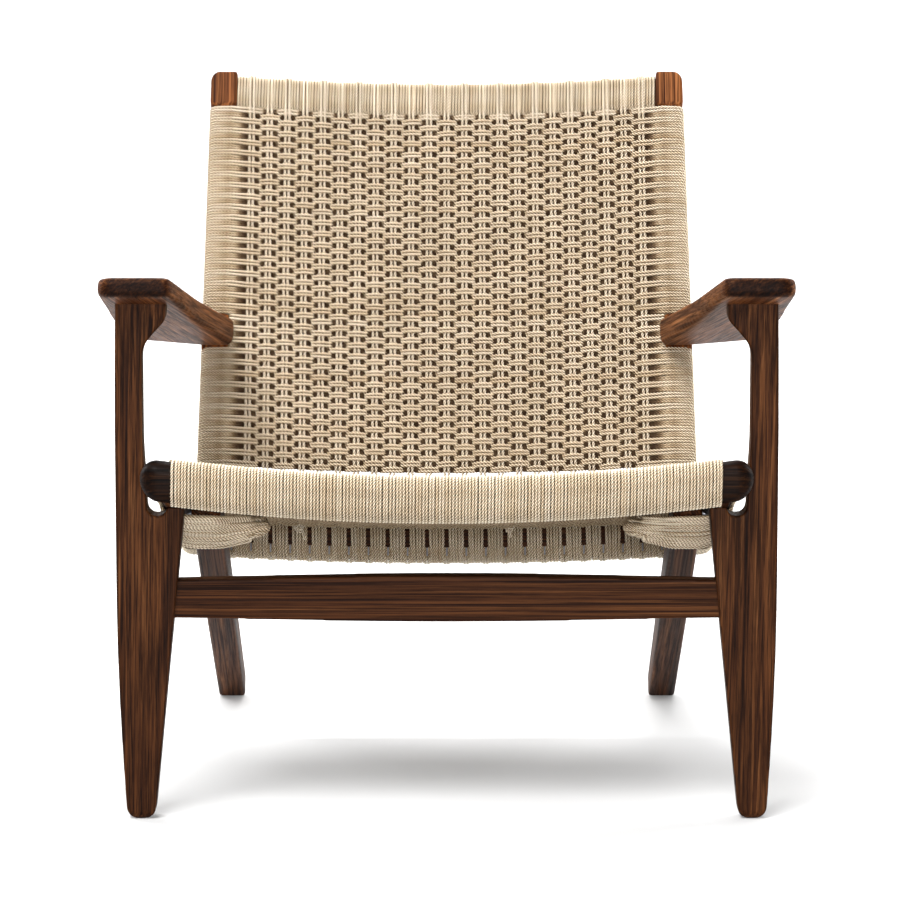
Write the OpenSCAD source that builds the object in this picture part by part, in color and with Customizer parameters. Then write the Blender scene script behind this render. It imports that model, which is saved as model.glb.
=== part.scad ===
// A low lounge armchair: a walnut frame with a woven paper-cord seat and back.
// X runs to the right, Y to the back, Z up. The origin is on the floor, midway along the width and depth.
// Every paired piece is drawn on the right side and mirrored for the left.

/* [Overall] */
// Width across the armrests
overall_width = 710; // [620:5:900]
// Depth from the front of the armrests to the back of the top rail
overall_depth = 730; // [600:5:900]
// Height of the top of the back
overall_height = 730; // [640:5:900]

/* [Seat] */
// Fall of the seat towards the back, in degrees
seat_slope = 16.3; // [10:0.1:20]
// Height of the side rails' centre line at the front of the legs
seat_rail_z = 350; // [320:1:400]
// Width of a side rail
side_rail_w = 30; // [24:0.5:36]
// Height of a side rail
side_rail_h = 37; // [30:0.5:45]
// How far the side rails run on behind the back, along the seat
rail_tail = 112; // [60:1:140]
// Height of the front rail
front_rail_h = 42; // [34:0.5:50]
// Thickness of the front rail
front_rail_t = 30; // [24:0.5:36]
// Height of the front rail's centre line at its ends
front_rail_z = 366; // [350:1:380]
// How far the front rail dips at its middle
front_rail_sag = 22; // [5:0.5:30]
// Gap between the front rail and the front legs
front_rail_gap = 12; // [6:0.5:20]
// How far the front rail reaches past the side rails
front_rail_reach = 18.5; // [10:0.5:20]
// Height of the rear rail
rear_rail_h = 38; // [30:0.5:45]
// Thickness of the rear rail
rear_rail_t = 24; // [20:0.5:30]
// How far the rear rail dips at its middle
rear_rail_sag = 8; // [3:0.5:15]
// Distance from the rear rail's centre to the ends of the side rails
rear_rail_inset = 22; // [16:0.5:40]

/* [Back] */
// Lean of the back, in degrees from upright
back_recline = 29; // [22:0.5:34]
// Width of a back stile
stile_w = 30.5; // [26:0.5:36]
// Thickness of a back stile
stile_t = 30; // [24:0.5:36]
// How far a stile stands out past the inner face of the side rail
stile_lap = 13; // [8:0.5:16]
// Inward lean of each stile, in degrees, so that the back narrows towards the top
stile_splay = 1; // [0:0.1:2]
// Length of bare wood at the top of a stile
stile_bare_top = 46; // [38:0.5:60]
// Height of the top and bottom rails
back_rail_h = 38; // [30:0.5:45]
// Thickness of the top and bottom rails
back_rail_t = 22; // [16:0.5:26]
// How far both rails and the weave bow backwards at the middle
back_bow = 24; // [10:0.5:30]
// Distance from the top of the stiles down to the cord on the top rail
top_rail_drop = 1.8; // [0:0.1:6]
// Height of the bottom rail's centre above the seat rails, along the back
bottom_rail_lift = 26; // [24:0.5:60]

/* [Front legs] */
// Width of the outer prong of a front leg
prong_w = 29; // [24:0.5:34]
// How far the armrest stands out past the leg
arm_lip = 13; // [6:0.5:20]
// Clear gap between the outer prong and the side rail
notch_gap = 17; // [12:0.5:24]
// Width of the inner prong that carries the seat
inner_prong_w = 18; // [14:0.5:22]
// Thickness of the leg at the seat
leg_t = 34; // [28:0.5:40]
// Thickness of the leg under the armrest
leg_top_t = 28; // [22:0.5:32]
// Thickness of the leg at the floor
leg_foot_t = 27; // [22:0.5:32]
// Width of the leg at the floor
leg_foot_w = 29; // [26:0.5:34]
// How far the foot stands inside the outside of the leg
foot_inset = 9; // [4:0.5:20]
// How far the top of the leg stands inside the widest part of the leg
leg_top_inset = 3; // [0:0.5:6]
// Depth of the notch below the seat rail
notch_depth = 11; // [6:0.5:20]

/* [Rear legs] */
// Width of a rear leg
rear_leg_w = 31; // [26:0.5:36]
// Depth of a rear leg at its upper end
rear_leg_t = 40; // [34:0.5:46]
// Depth of a rear leg at the floor
rear_foot_t = 29; // [24:0.5:32]
// Distance of the rear foot's centre inside the back of the chair
rear_foot_inset = 40; // [20:1:80]
// Height of the rear leg's centre line where it starts, behind the front leg
rear_head_z = 335; // [325:1:340]
// Gap between the front leg and the end of the rear leg
rear_head_gap = 2; // [1:0.5:10]
// Distance from the rear leg's head to the top of the side rail
rear_head_drop = 12; // [8:0.5:20]

/* [Stretchers] */
// Height of the front stretcher's centre line
stretcher_z = 232.5; // [200:0.5:250]
// Height of the front stretcher at its ends
stretcher_end_h = 37; // [30:0.5:44]
// Height of the front stretcher at its middle
stretcher_mid_h = 44; // [36:0.5:52]
// Thickness of the front stretcher
stretcher_t = 23; // [18:0.5:28]
// Height of the rear stretcher
rear_stretcher_h = 34; // [24:0.5:38]
// Thickness of the rear stretcher
rear_stretcher_t = 19; // [16:0.5:26]

/* [Armrests] */
// Height of the armrest's top at its front edge
arm_front_z = 577; // [550:1:620]
// Fall of the armrest towards the back, in degrees
arm_slope = 12; // [6:0.5:15]
// Thickness at the front edge
arm_front_t = 18.5; // [16:0.5:24]
// Thickness at the back end
arm_rear_t = 30; // [26:0.5:34]
// How far the armrest runs out in front of the leg
arm_overhang = 72; // [40:1:90]
// Width of the front edge
arm_front_w = 76; // [60:1:86]
// Hollow of the inner edge at its middle
arm_waist = 5; // [0:0.5:12]
// How far the armrest's end reaches inside the stile's inner face
arm_lap = 6; // [0:0.5:10]
// Bare wood on the stile below the armrest
arm_bare = 9; // [4:0.5:16]

/* [Joints] */
// Diameter of the dowels and bolts
pin_d = 8; // [6:0.5:10]
// Length of the rails' tenons
tenon_l = 14; // [10:0.5:18]
// Thickness of the tenons
tenon_t = 10; // [8:0.5:14]
// Gap round a pin in its hole
pin_clear = 0.05; // [0:0.01:0.1]

/* [Cord] */
// Diameter of the paper cord
cord_d = 3.3; // [2.8:0.1:4]
// Length of bare wood at each end of the front rail
front_rail_bare = 31.5; // [24:0.5:40]
// Pairs of warp cords across the seat
warp_count = 23; // [15:1:27]
// Distance between two pairs of warp cords on the seat
warp_pitch = 22; // [18:0.5:24]
// Length of the gathered cord along each seat rail
bundle_l = 98; // [60:1:120]
// Start of the gathered cord behind the front of the leg
bundle_start = 38; // [36:1:50]
// How far the gathered cord reaches in from the rear leg
bundle_reach = 47; // [30:1:60]
// Diameter of a cord nail
nail_d = 2; // [1.4:0.1:2.4]
// Length of a cord nail's bent foot
nail_foot = 9; // [6:0.5:12]

/* [Hidden] */
$fn = 48;
big = 2000;
half_w = overall_width / 2;
y_front = -overall_depth / 2;
y_leg = y_front + arm_overhang;
// The armrest's front face leans with it, so its top edge starts behind its bottom edge
arm_y = y_front + arm_front_t * sin(arm_slope);

// Sideways places, measured from the middle of the chair
leg_out = half_w - arm_lip;
prong_in = leg_out - prong_w;
rail_out = prong_in - notch_gap;
rail_in = rail_out - side_rail_w;
rail_mid = (rail_out + rail_in) / 2;
inner_prong_in = rail_in + 5;
inner_prong_out = inner_prong_in + inner_prong_w;
rear_leg_in = rail_in - rear_leg_w;
rear_leg_mid = (rail_in + rear_leg_in) / 2;
stile_out = rail_in + stile_lap;
stile_in = stile_out - stile_w;
rail_half = rail_out + front_rail_reach;

// The seat frame's lines, in side view
slope = tan(seat_slope);
function rail_z(y) = seat_rail_z - slope * (y - y_leg);
rail_half_h = side_rail_h / 2;
front_rail_y = y_leg - front_rail_gap - front_rail_t / 2;
wrap_grow = 2 * cord_d;

// The back: its front plane starts at the top edge of the stiles and leans back
round_r = 8;
top_rail_v = back_rail_t / 2 + cord_d;
top_rail_u = top_rail_drop + cord_d + back_rail_h / 2;
wrap_reach = (top_rail_v - round_r - cord_d) * cos(back_recline)
    + (back_rail_h / 2 - round_r) * sin(back_recline) + round_r + cord_d;
top_y = overall_depth / 2 - wrap_reach - (top_rail_v + back_bow) * cos(back_recline)
    + top_rail_u * sin(back_recline);
top_z = overall_height;
// Distance from the top of the back to a line z = z0 - m * (y - y0), at a depth v behind the front plane
function down_to(v, y0, z0, m) =
    (top_z - v * sin(back_recline) - z0 + m * (top_y + v * cos(back_recline) - y0))
    / (cos(back_recline) + m * sin(back_recline));
stile_mid = stile_t / 2;
down_to_rail = down_to(stile_mid, y_leg, seat_rail_z, slope);
rail_cross_y = top_y + stile_mid * cos(back_recline) - down_to_rail * sin(back_recline);
bottom_rail_u = down_to_rail - bottom_rail_lift - rail_half_h;
wrap_end_u = bottom_rail_u + back_rail_h / 2 + cord_d;

// The side rails run in the seat's own frame: along is towards the back, up is out of the seat
rail_front_along = (front_rail_y - y_leg) / cos(seat_slope);
rail_end_along = (rail_cross_y - y_leg) / cos(seat_slope) + rail_tail;
rear_rail_along = rail_end_along - rear_rail_inset;
front_rail_along = (front_rail_y - y_leg) * cos(seat_slope) - (front_rail_z - seat_rail_z) * sin(seat_slope);
front_rail_up = (front_rail_y - y_leg) * sin(seat_slope) + (front_rail_z - seat_rail_z) * cos(seat_slope);

// The rear legs, from the head behind the front leg down to the foot
foot_cut = 0.8;
foot_r = rear_foot_t / 2;
head_y = y_leg + leg_t + rear_head_gap;
foot_y = overall_depth / 2 - rear_foot_inset;
leg_lean = atan2(foot_y - head_y, rear_head_z - foot_r + foot_cut);
leg_l = norm([foot_y - head_y, rear_head_z - foot_r + foot_cut]);
leg_fall = 1 / tan(leg_lean);
down_to_leg = down_to(stile_mid, foot_y, foot_r - foot_cut, leg_fall);
leg_cross_y = top_y + stile_mid * cos(back_recline) - down_to_leg * sin(back_recline);
leg_cross_z = top_z - stile_mid * sin(back_recline) - down_to_leg * cos(back_recline);
tongue_end = down_to_leg + rear_leg_t * 0.25;
// How far a stile's faces stand inside their places at the seat rail, at a distance u below its top
function stile_shift(u) = (down_to_rail - u) * tan(stile_splay);

// The armrests, in their own frame: along is towards the back, up is out of the armrest
arm_fall = tan(arm_slope);
arm_top_down = down_to(0, arm_y, arm_front_z, arm_fall);
arm_end_y = top_y - arm_top_down * sin(back_recline);
arm_l = (arm_end_y - arm_y) / cos(arm_slope);
arm_low_down = arm_top_down + arm_rear_t / cos(back_recline - arm_slope);
arm_mid_down = (arm_top_down + arm_low_down) / 2;
arm_end_out = stile_out - stile_shift(arm_mid_down);
arm_end_in = stile_in - stile_shift(arm_mid_down) - arm_lap;

// The seat weave's shape in the seat's frame
weave_t = 2 * cord_d;
weave_half = rail_in - cord_d;
seat_side_up = rail_half_h + cord_d;
function dip(x) = 1 - pow(x / rail_in, 2);
function weave_top(x, t) = seat_side_up - dip(x) * ((1 - t) * front_rail_sag + t * rear_rail_sag) * 0.8;
weave_rows = 12;
weave_columns = 16;

// ---- helpers ----
module right_and_left(side) {
    if (side > 0) children();
    else mirror([1, 0, 0]) children();
}
module in_seat() translate([0, y_leg, seat_rail_z]) rotate([-seat_slope, 0, 0]) children();
module in_back() translate([0, top_y, top_z]) rotate([-back_recline, 0, 0]) children();
module in_stile() in_back() translate([0, 0, -down_to_rail]) rotate([0, -stile_splay, 0])
    translate([0, 0, down_to_rail]) children();
module in_arm() translate([0, arm_y, arm_front_z]) rotate([-arm_slope, 0, 0]) children();
module in_rear_leg() translate([0, foot_y, foot_r - foot_cut]) rotate([leg_lean, 0, 0]) children();

function unit(v) = v / norm(v);
// The points of an arc of radius r that rounds corner b between a and c
function corner_arc(a, b, c, r, steps) =
    let (u = unit(a - b), v = unit(c - b), half = acos(u * v) / 2)
    let (t = r / tan(half), o = b + unit(u + v) * r / sin(half))
    let (p = b + u * t - o, q = b + v * t - o)
    let (from = atan2(p.y, p.x), turn = (atan2(q.y, q.x) - from + 540) % 360 - 180)
    [for (i = [0:steps]) o + r * [cos(from + turn * i / steps), sin(from + turn * i / steps)]];
function flat(p) = [p.x, p.y];
// An outline from corners [x, y, radius]
function outline(corners, steps = 6) =
    let (n = len(corners))
    [for (i = [0:n - 1]) each corners[i].z <= 0 ? [flat(corners[i])] : corner_arc(
        flat(corners[(i + n - 1) % n]), flat(corners[i]), flat(corners[(i + 1) % n]), corners[i].z, steps)];
function block(w, h, r) = outline([[-w / 2, -h / 2, r], [w / 2, -h / 2, r], [w / 2, h / 2, r], [-w / 2, h / 2, r]], 4);

// An outline drawn in the front view, extruded from y0 to y1
module front_view(corners, y0, y1) translate([0, y1, 0]) rotate([90, 0, 0])
    linear_extrude(height = y1 - y0) polygon(outline(corners));
// An outline drawn in the side view as [y, z], extruded from x0 to x1
module side_view(corners, x0, x1) translate([x0, 0, 0]) rotate([90, 0, 90])
    linear_extrude(height = x1 - x0) polygon(outline(corners));
module box(x0, x1, y0, y1, z0, z1) translate([x0, y0, z0]) cube([x1 - x0, y1 - y0, z1 - z0]);
module pin_x(x0, x1, d) translate([x0, 0, 0]) rotate([0, 90, 0]) cylinder(h = x1 - x0, d = d);

// A bar whose middle hangs down by sag, with its ends at x = -half and half
module hanging_bar(half, sag, section) {
    r = (half * half + sag * sag) / (2 * sag);
    turn = asin(half / r) + 0.3;
    intersection() {
        translate([0, 0, r - sag]) rotate([90, 0, 0]) rotate([0, 0, -90 - turn])
            rotate_extrude(angle = 2 * turn, $fn = 720) translate([r, 0]) polygon(section);
        box(-half, half, -big, big, -big, big);
    }
}
// The same bar lying on its side: its middle bows backwards
module bowed_bar(half, bow, section) rotate([90, 0, 0]) hanging_bar(half, bow, section);

// ---- whole shapes that other pieces are cut by ----
module arm_blank() in_arm() side_view([
    [-200, big / 4, 0], [-200, -arm_front_t + 200 * (arm_rear_t - arm_front_t) / arm_l, 0],
    [arm_l + 400, -arm_rear_t - 400 * (arm_rear_t - arm_front_t) / arm_l, 0], [arm_l + 400, big / 4, 0]
], 0, big / 2);
module side_rail_blank() in_seat() translate([rail_mid, rail_front_along, 0]) rotate([-90, 0, 0])
    linear_extrude(height = rail_end_along - rail_front_along) polygon(block(side_rail_w, side_rail_h, 10));
module side_rail_wrap_blank() in_seat() translate([rail_mid, rail_front_along, 0]) rotate([-90, 0, 0])
    linear_extrude(height = rail_end_along - rail_front_along)
        polygon(block(side_rail_w + wrap_grow, side_rail_h + wrap_grow, 10 + cord_d));
module rear_leg_blank() intersection() {
    in_rear_leg() intersection() {
        side_view([
            [-foot_r - 0.3, -foot_r, foot_r - 0.5], [foot_r + 0.3, -foot_r, foot_r - 0.5],
            [rear_leg_t / 2, leg_l * 0.45, 2500], [rear_leg_t / 2, leg_l + 60, 0],
            [-rear_leg_t / 2, leg_l + 60, 0], [-rear_leg_t / 2, leg_l * 0.45, 2500]
        ], rear_leg_in, rail_in);
        front_view([
            [rear_leg_in, -foot_r, foot_r - 3], [rail_in, -foot_r, foot_r - 3],
            [rail_in, leg_l + 60, 0], [rear_leg_in, leg_l + 60, 0]
        ], -60, 60);
    }
    box(0, big, head_y, big, 0, big);
    in_seat() box(0, big, -big, big, -big, rail_half_h - rear_head_drop);
}
module stile_blank() difference() {
    in_stile() box(stile_in, stile_out, 0, stile_t, -tongue_end, 0);
    in_back() box(0, big, -big, big, 0, big);
    in_seat() box(rail_in, big, -big, big, -big, rail_half_h);
}
module beside_stile(grow) in_stile() box(stile_in - grow, big, -big, big, -big, big);
module front_rail_blank() intersection() {
    translate([0, front_rail_y, front_rail_z])
        hanging_bar(rail_half, front_rail_sag, block(front_rail_h, front_rail_t, 12));
    translate([0, 0, front_rail_z]) front_view([
        [rail_half, front_rail_h / 2 + 0.5, 19], [-rail_half, front_rail_h / 2 + 0.5, 19],
        [-rail_half, -front_rail_h / 2 - 1, 17], [0, -4 * front_rail_sag - front_rail_h / 2, 0],
        [rail_half, -front_rail_h / 2 - 1, 17]
    ], -big, big);
}
module front_rail_wrap_blank() intersection() {
    translate([0, front_rail_y, front_rail_z]) hanging_bar(rail_half, front_rail_sag,
        block(front_rail_h + wrap_grow, front_rail_t + wrap_grow, 12 + cord_d));
    box(front_rail_bare - rail_half, rail_half - front_rail_bare, -big, big, -big, big);
}
module rear_rail_bar(grow) in_seat() translate([0, rear_rail_along, 0])
    hanging_bar(rail_in, rear_rail_sag, block(rear_rail_h + grow, rear_rail_t + grow, round_r + grow / 2));
module back_rail_bar(u, grow) in_back() translate([0, top_rail_v, -u])
    bowed_bar(stile_in + 2, back_bow, block(back_rail_t + grow, back_rail_h + grow, round_r + grow / 2));
module front_leg_blank() intersection() {
    front_view([
        [leg_out - leg_top_inset, arm_front_z + 60, 0], [prong_in - 25, arm_front_z + 60, 0],
        [prong_in - 25, arm_front_z - 52, 14], [prong_in, arm_front_z - 80, 30],
        [prong_in, seat_rail_z + 50, 60],
        [prong_in - 4, seat_rail_z - rail_half_h - notch_depth, 9.5],
        [inner_prong_out, seat_rail_z - rail_half_h - notch_depth, 9.5],
        [inner_prong_out, seat_rail_z + 30, 0], [inner_prong_in, seat_rail_z + 30, 0],
        [inner_prong_in, seat_rail_z - 26, 400],
        [leg_out - foot_inset - leg_foot_w, -foot_cut, leg_foot_w / 2 - 0.6],
        [leg_out - foot_inset, -foot_cut, leg_foot_w / 2 - 0.6], [leg_out, 160, 3400],
        [leg_out, seat_rail_z + 60, 4000]
    ], y_leg - 1, y_leg + 80);
    side_view([
        [y_leg, arm_front_z + 60, 0], [y_leg, -1, 9], [y_leg + leg_foot_t, -1, 9],
        [y_leg + leg_t, seat_rail_z - 20, 2500], [y_leg + leg_top_t, arm_front_z + 60, 0]
    ], 0, half_w);
    box(0, big, -big, big, 0, big);
}
module stretcher_blank(x0, x1) intersection() {
    front_view([
        [-x1, stretcher_z + stretcher_end_h / 2, 0], [-x1, stretcher_z - stretcher_end_h / 2, 0],
        [0, stretcher_z - stretcher_mid_h + stretcher_end_h / 2, 5500],
        [x1, stretcher_z - stretcher_end_h / 2, 0], [x1, stretcher_z + stretcher_end_h / 2, 0],
        [0, stretcher_z + stretcher_mid_h - stretcher_end_h / 2, 5500]
    ], y_leg + 5, y_leg + 5 + stretcher_t);
    box(x0, x1, -big, big, -big, big);
}
stretcher_y = y_leg + 5 + stretcher_t / 2;
stretcher_shoulder = inner_prong_in + 9;
module stretcher_tenon() translate([stretcher_shoulder - 4, stretcher_y, stretcher_z])
    box(0, tenon_l + 14, -tenon_t / 2, tenon_t / 2, -stretcher_end_h * 0.3, stretcher_end_h * 0.3);
rear_stretcher_y = leg_cross_y + 12;
rear_stretcher_z = foot_r - foot_cut + (foot_y - rear_stretcher_y) * leg_fall;
module rear_stretcher_tenon(grow) translate([rear_leg_in - 1, rear_stretcher_y, rear_stretcher_z])
    box(0, 10, -tenon_t / 2, tenon_t / 2, -rear_stretcher_h * 0.3, rear_stretcher_h * 0.3);
module front_tenon() in_seat() translate([rail_mid, rail_front_along + 3, 0])
    box(-tenon_t / 2, tenon_t / 2, 0, 30, -9, 9);
module rear_tenon(grow) in_seat() translate([0, rear_rail_along, 0])
    pin_x(rail_in - 2, rail_in + tenon_l, 16 + grow);
module back_tenon(u) in_back() translate([stile_in - stile_shift(u) - 2, top_rail_v, -u])
    box(0, tenon_l + 2, -tenon_t / 2, tenon_t / 2, -back_rail_h * 0.3, back_rail_h * 0.3);

// ---- pins, each drawn once and cut from its pieces with a small gap ----
arm_pin_y = y_leg + leg_top_t / 2;
arm_pin_z = arm_front_z - (arm_pin_y - arm_y) * arm_fall - arm_front_t;
module arm_front_pin(grow) translate([leg_out - prong_w / 2, arm_pin_y, arm_pin_z - 40])
    cylinder(h = 50, d = 12 + grow);
module arm_rear_pins(grow) for (x = [stile_in + 7, stile_out - 8]) in_stile()
    translate([x, -24, -arm_mid_down]) rotate([-90, 0, 0]) cylinder(h = 42, d = pin_d + grow);
module prong_pin(grow) translate([inner_prong_in + 9, y_leg + leg_t / 2, seat_rail_z - rail_half_h - 36])
    cylinder(h = 50, d = pin_d + grow);
module head_bolts(grow) for (along = [bundle_start + 14, bundle_start + 50]) in_seat()
    translate([0, along, -4 - along * (leg_fall - slope) * 0.55])
        pin_x(rear_leg_mid - 8, rail_out - 8, pin_d + grow);
module seat_pin(grow) translate([0, rail_cross_y, rail_z(rail_cross_y)])
    pin_x(stile_in + 6, rail_out - 7, pin_d + grow);
module foot_pin(grow) translate([0, leg_cross_y, leg_cross_z]) pin_x(rear_leg_in + 5, rail_in - 4, pin_d + grow);
gap = 2 * pin_clear;

// ---- wood ----
module front_leg(side) color("peru") right_and_left(side) difference() {
    front_leg_blank();
    arm_blank();
    side_rail_blank();
    in_seat() box(0, inner_prong_out + 1, -100, 100, 0, 60);
    stretcher_tenon();
    arm_front_pin(gap);
    prong_pin(gap);
}
module rear_leg(side) color("sienna") right_and_left(side) difference() {
    rear_leg_blank();
    stile_blank();
    head_bolts(gap);
    foot_pin(gap);
    rear_stretcher_tenon(0);
}
module armrest(side) color("chocolate") right_and_left(side) difference() {
    in_arm() intersection() {
        translate([0, 0, -big / 2]) linear_extrude(height = big) polygon(outline([
            [half_w - arm_front_w, 0, 8], [half_w - 2, 0, 14], [half_w, arm_l * 0.45, 4000],
            [half_w, arm_l - 86, 30], [arm_end_out, arm_l - 9, 0], [arm_end_out, arm_l + 60, 0],
            [arm_end_in, arm_l + 60, 0], [arm_end_in, arm_l, 0],
            [(half_w - arm_front_w + arm_end_in) / 2 + arm_waist, arm_l / 2, 2500]
        ]));
        side_view([
            [0, 0, 0], [0, -arm_front_t, 0], [arm_l + 80, -arm_rear_t - 80 * (arm_rear_t - arm_front_t) / arm_l, 0],
            [arm_l + 80, 0, 0]
        ], 0, big);
    }
    in_back() box(0, big, 0, big, -big, big);
    arm_front_pin(gap);
    arm_rear_pins(gap);
}
module front_stretcher() color("saddlebrown") {
    difference() {
        stretcher_blank(-leg_out, leg_out);
        for (side = [-1, 1]) right_and_left(side) front_leg_blank();
        for (side = [-1, 1]) right_and_left(side) box(inner_prong_out + 8, half_w, -big, big, 0, big);
    }
    for (side = [-1, 1]) right_and_left(side) stretcher_tenon();
}
module rear_stretcher() color("saddlebrown") {
    translate([0, rear_stretcher_y, rear_stretcher_z]) rotate([0, 90, 0])
        linear_extrude(height = 2 * rear_leg_in, center = true)
            polygon(block(rear_stretcher_h, rear_stretcher_t, 5));
    for (side = [-1, 1]) right_and_left(side) rear_stretcher_tenon(0);
}
module seat_front_rail() color("brown") difference() {
    front_rail_blank();
    for (side = [-1, 1]) right_and_left(side) front_tenon();
}
module seat_side_rail(side) color("burlywood") right_and_left(side) {
    difference() {
        side_rail_blank();
        front_rail_blank();
        box(0, big, -big, front_rail_y, -big, big);
        rear_tenon(gap);
        head_bolts(gap);
        seat_pin(gap);
        prong_pin(gap);
    }
    front_tenon();
}
module seat_rear_rail() color("brown") {
    rear_rail_bar(0);
    for (side = [-1, 1]) right_and_left(side) rear_tenon(0);
}
module back_stile(side) color("rosybrown") right_and_left(side) difference() {
    stile_blank();
    difference() {
        in_stile() for (part = [[stile_bare_top, arm_top_down - 2], [arm_low_down + arm_bare, wrap_end_u]])
            box(0, big, -big, big, -part[1], -part[0]);
        in_stile() translate([(stile_in + stile_out) / 2, stile_mid, -big / 2])
            linear_extrude(height = big) polygon(block(stile_w + 1 - wrap_grow, stile_t + 1 - wrap_grow, 5));
    }
    back_tenon(top_rail_u);
    back_tenon(bottom_rail_u);
    arm_rear_pins(gap);
    seat_pin(gap);
    foot_pin(gap);
}
module back_rail(u) difference() {
    back_rail_bar(u, 0);
    for (side = [-1, 1]) right_and_left(side) beside_stile(0);
}
module back_top_rail() color("tan") {
    back_rail(top_rail_u);
    for (side = [-1, 1]) right_and_left(side) back_tenon(top_rail_u);
}
module back_bottom_rail() color("tan") {
    back_rail(bottom_rail_u);
    for (side = [-1, 1]) right_and_left(side) back_tenon(bottom_rail_u);
}

// ---- pins and nails ----
module arm_front_dowel(side) color("gold") right_and_left(side) arm_front_pin(0);
module arm_rear_dowels(side) color("gold") right_and_left(side) arm_rear_pins(0);
module prong_dowel(side) color("gold") right_and_left(side) prong_pin(0);
module leg_head_bolts(side) color("silver") right_and_left(side) head_bolts(0);
module seat_bolt(side) color("silver") right_and_left(side) seat_pin(0);
module stile_foot_bolt(side) color("silver") right_and_left(side) foot_pin(0);

// ---- cord, as plain closed solids ----
module back_weave() color("wheat") difference() {
    u0 = top_rail_u + back_rail_h / 2 + cord_d;
    u1 = bottom_rail_u - back_rail_h / 2 - cord_d;
    in_back() translate([0, weave_t / 2, -(u0 + u1) / 2])
        bowed_bar(stile_in + 2, back_bow, block(weave_t, u1 - u0, 0));
    for (side = [-1, 1]) right_and_left(side) beside_stile(0.5);
}
module seat_weave() color("wheat") difference() {
    in_seat() polyhedron(
        points = [for (layer = [0, 1], j = [0:weave_rows], i = [0:weave_columns])
            let (x = weave_half * (2 * i / weave_columns - 1), t = j / weave_rows)
            [x, front_rail_along + t * (rear_rail_along - front_rail_along), weave_top(x, t) - layer * weave_t]],
        faces = let (n = weave_columns + 1, m = n * (weave_rows + 1)) concat(
            [for (j = [0:weave_rows - 1], i = [0:weave_columns - 1]) each let (a = j * n + i)
                [[a, a + n, a + n + 1], [a, a + n + 1, a + 1]]],
            [for (j = [0:weave_rows - 1], i = [0:weave_columns - 1]) each let (a = m + j * n + i)
                [[a, a + n + 1, a + n], [a, a + 1, a + n + 1]]],
            [for (i = [0:weave_columns - 1]) each [[i, i + 1, m + i + 1], [i, m + i + 1, m + i]]],
            [for (i = [0:weave_columns - 1]) each let (a = weave_rows * n + i)
                [[a, m + a + 1, a + 1], [a, m + a, m + a + 1]]],
            [for (j = [0:weave_rows - 1]) each let (a = j * n)
                [[a, m + a + n, a + n], [a, m + a, m + a + n]]],
            [for (j = [0:weave_rows - 1]) each let (a = j * n + weave_columns)
                [[a, a + n, m + a + n], [a, m + a + n, m + a]]]));
    front_rail_cut();
    rear_rail_bar(wrap_grow);
    for (side = [-1, 1]) right_and_left(side) tongue_cut();
}
module front_rail_cut() translate([0, front_rail_y, front_rail_z])
    hanging_bar(rail_half, front_rail_sag, block(front_rail_h + wrap_grow, front_rail_t + wrap_grow, 12 + cord_d));
module tongue_cut() in_stile() box(stile_in - 2, big, -2, stile_t + 2, -big, 0);
module front_rail_wrap() color("khaki") difference() {
    front_rail_wrap_blank();
    front_rail_blank();
    for (side = [-1, 1]) right_and_left(side) in_seat() box(rail_in - 2, big, rail_front_along + 6, big, -big, big);
}
module rear_rail_wrap() color("khaki") difference() {
    rear_rail_bar(wrap_grow);
    rear_rail_bar(0);
    for (side = [-1, 1]) right_and_left(side) box(rail_in - cord_d - 0.5, big, -big, big, -big, big);
}
module top_rail_wrap() color("khaki") difference() {
    back_rail_bar(top_rail_u, wrap_grow);
    back_rail_bar(top_rail_u, 0);
    for (side = [-1, 1]) right_and_left(side) beside_stile(0.5);
}
module bottom_rail_wrap() color("khaki") difference() {
    back_rail_bar(bottom_rail_u, wrap_grow);
    back_rail_bar(bottom_rail_u, 0);
    for (side = [-1, 1]) right_and_left(side) beside_stile(0.5);
}
module stile_wrap(side) color("palegoldenrod") right_and_left(side) difference() {
    in_stile() for (part = [[stile_bare_top, arm_top_down - 2], [arm_low_down + arm_bare, wrap_end_u]])
        translate([(stile_in + stile_out) / 2, stile_mid, -part[1]]) linear_extrude(height = part[1] - part[0])
            polygon(block(stile_w + 1, stile_t + 1, 5 + cord_d));
    in_stile() translate([(stile_in + stile_out) / 2, stile_mid, -big / 2])
        linear_extrude(height = big) polygon(block(stile_w + 1 - wrap_grow, stile_t + 1 - wrap_grow, 5));
    back_rail_bar(top_rail_u, 0);
    back_rail_bar(bottom_rail_u, 0);
}
module side_rail_wrap(side) color("palegoldenrod") right_and_left(side) difference() {
    side_rail_wrap_blank();
    side_rail_blank();
    rear_leg_blank();
    rear_rail_bar(0);
    front_rail_cut();
    box(0, big, -big, front_rail_y, -big, big);
    in_seat() box(0, big, -7, bundle_start + bundle_l, -big, big);
    in_seat() box(0, big, rail_end_along - 6, big, -big, big);
    tongue_cut();
}
bundle_end = bundle_start + bundle_l;
function leg_up(along) = (rear_head_z - rail_z(head_y)) * cos(seat_slope)
    - (along - (head_y - y_leg) / cos(seat_slope)) * tan(90 - leg_lean - seat_slope);
module bundle_slice(along) in_seat() box(rear_leg_in - cord_d, rail_out + cord_d, along - 0.5, along + 0.5,
    leg_up(along) - rear_leg_t / 2 - cord_d - 3, seat_side_up);
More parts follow.
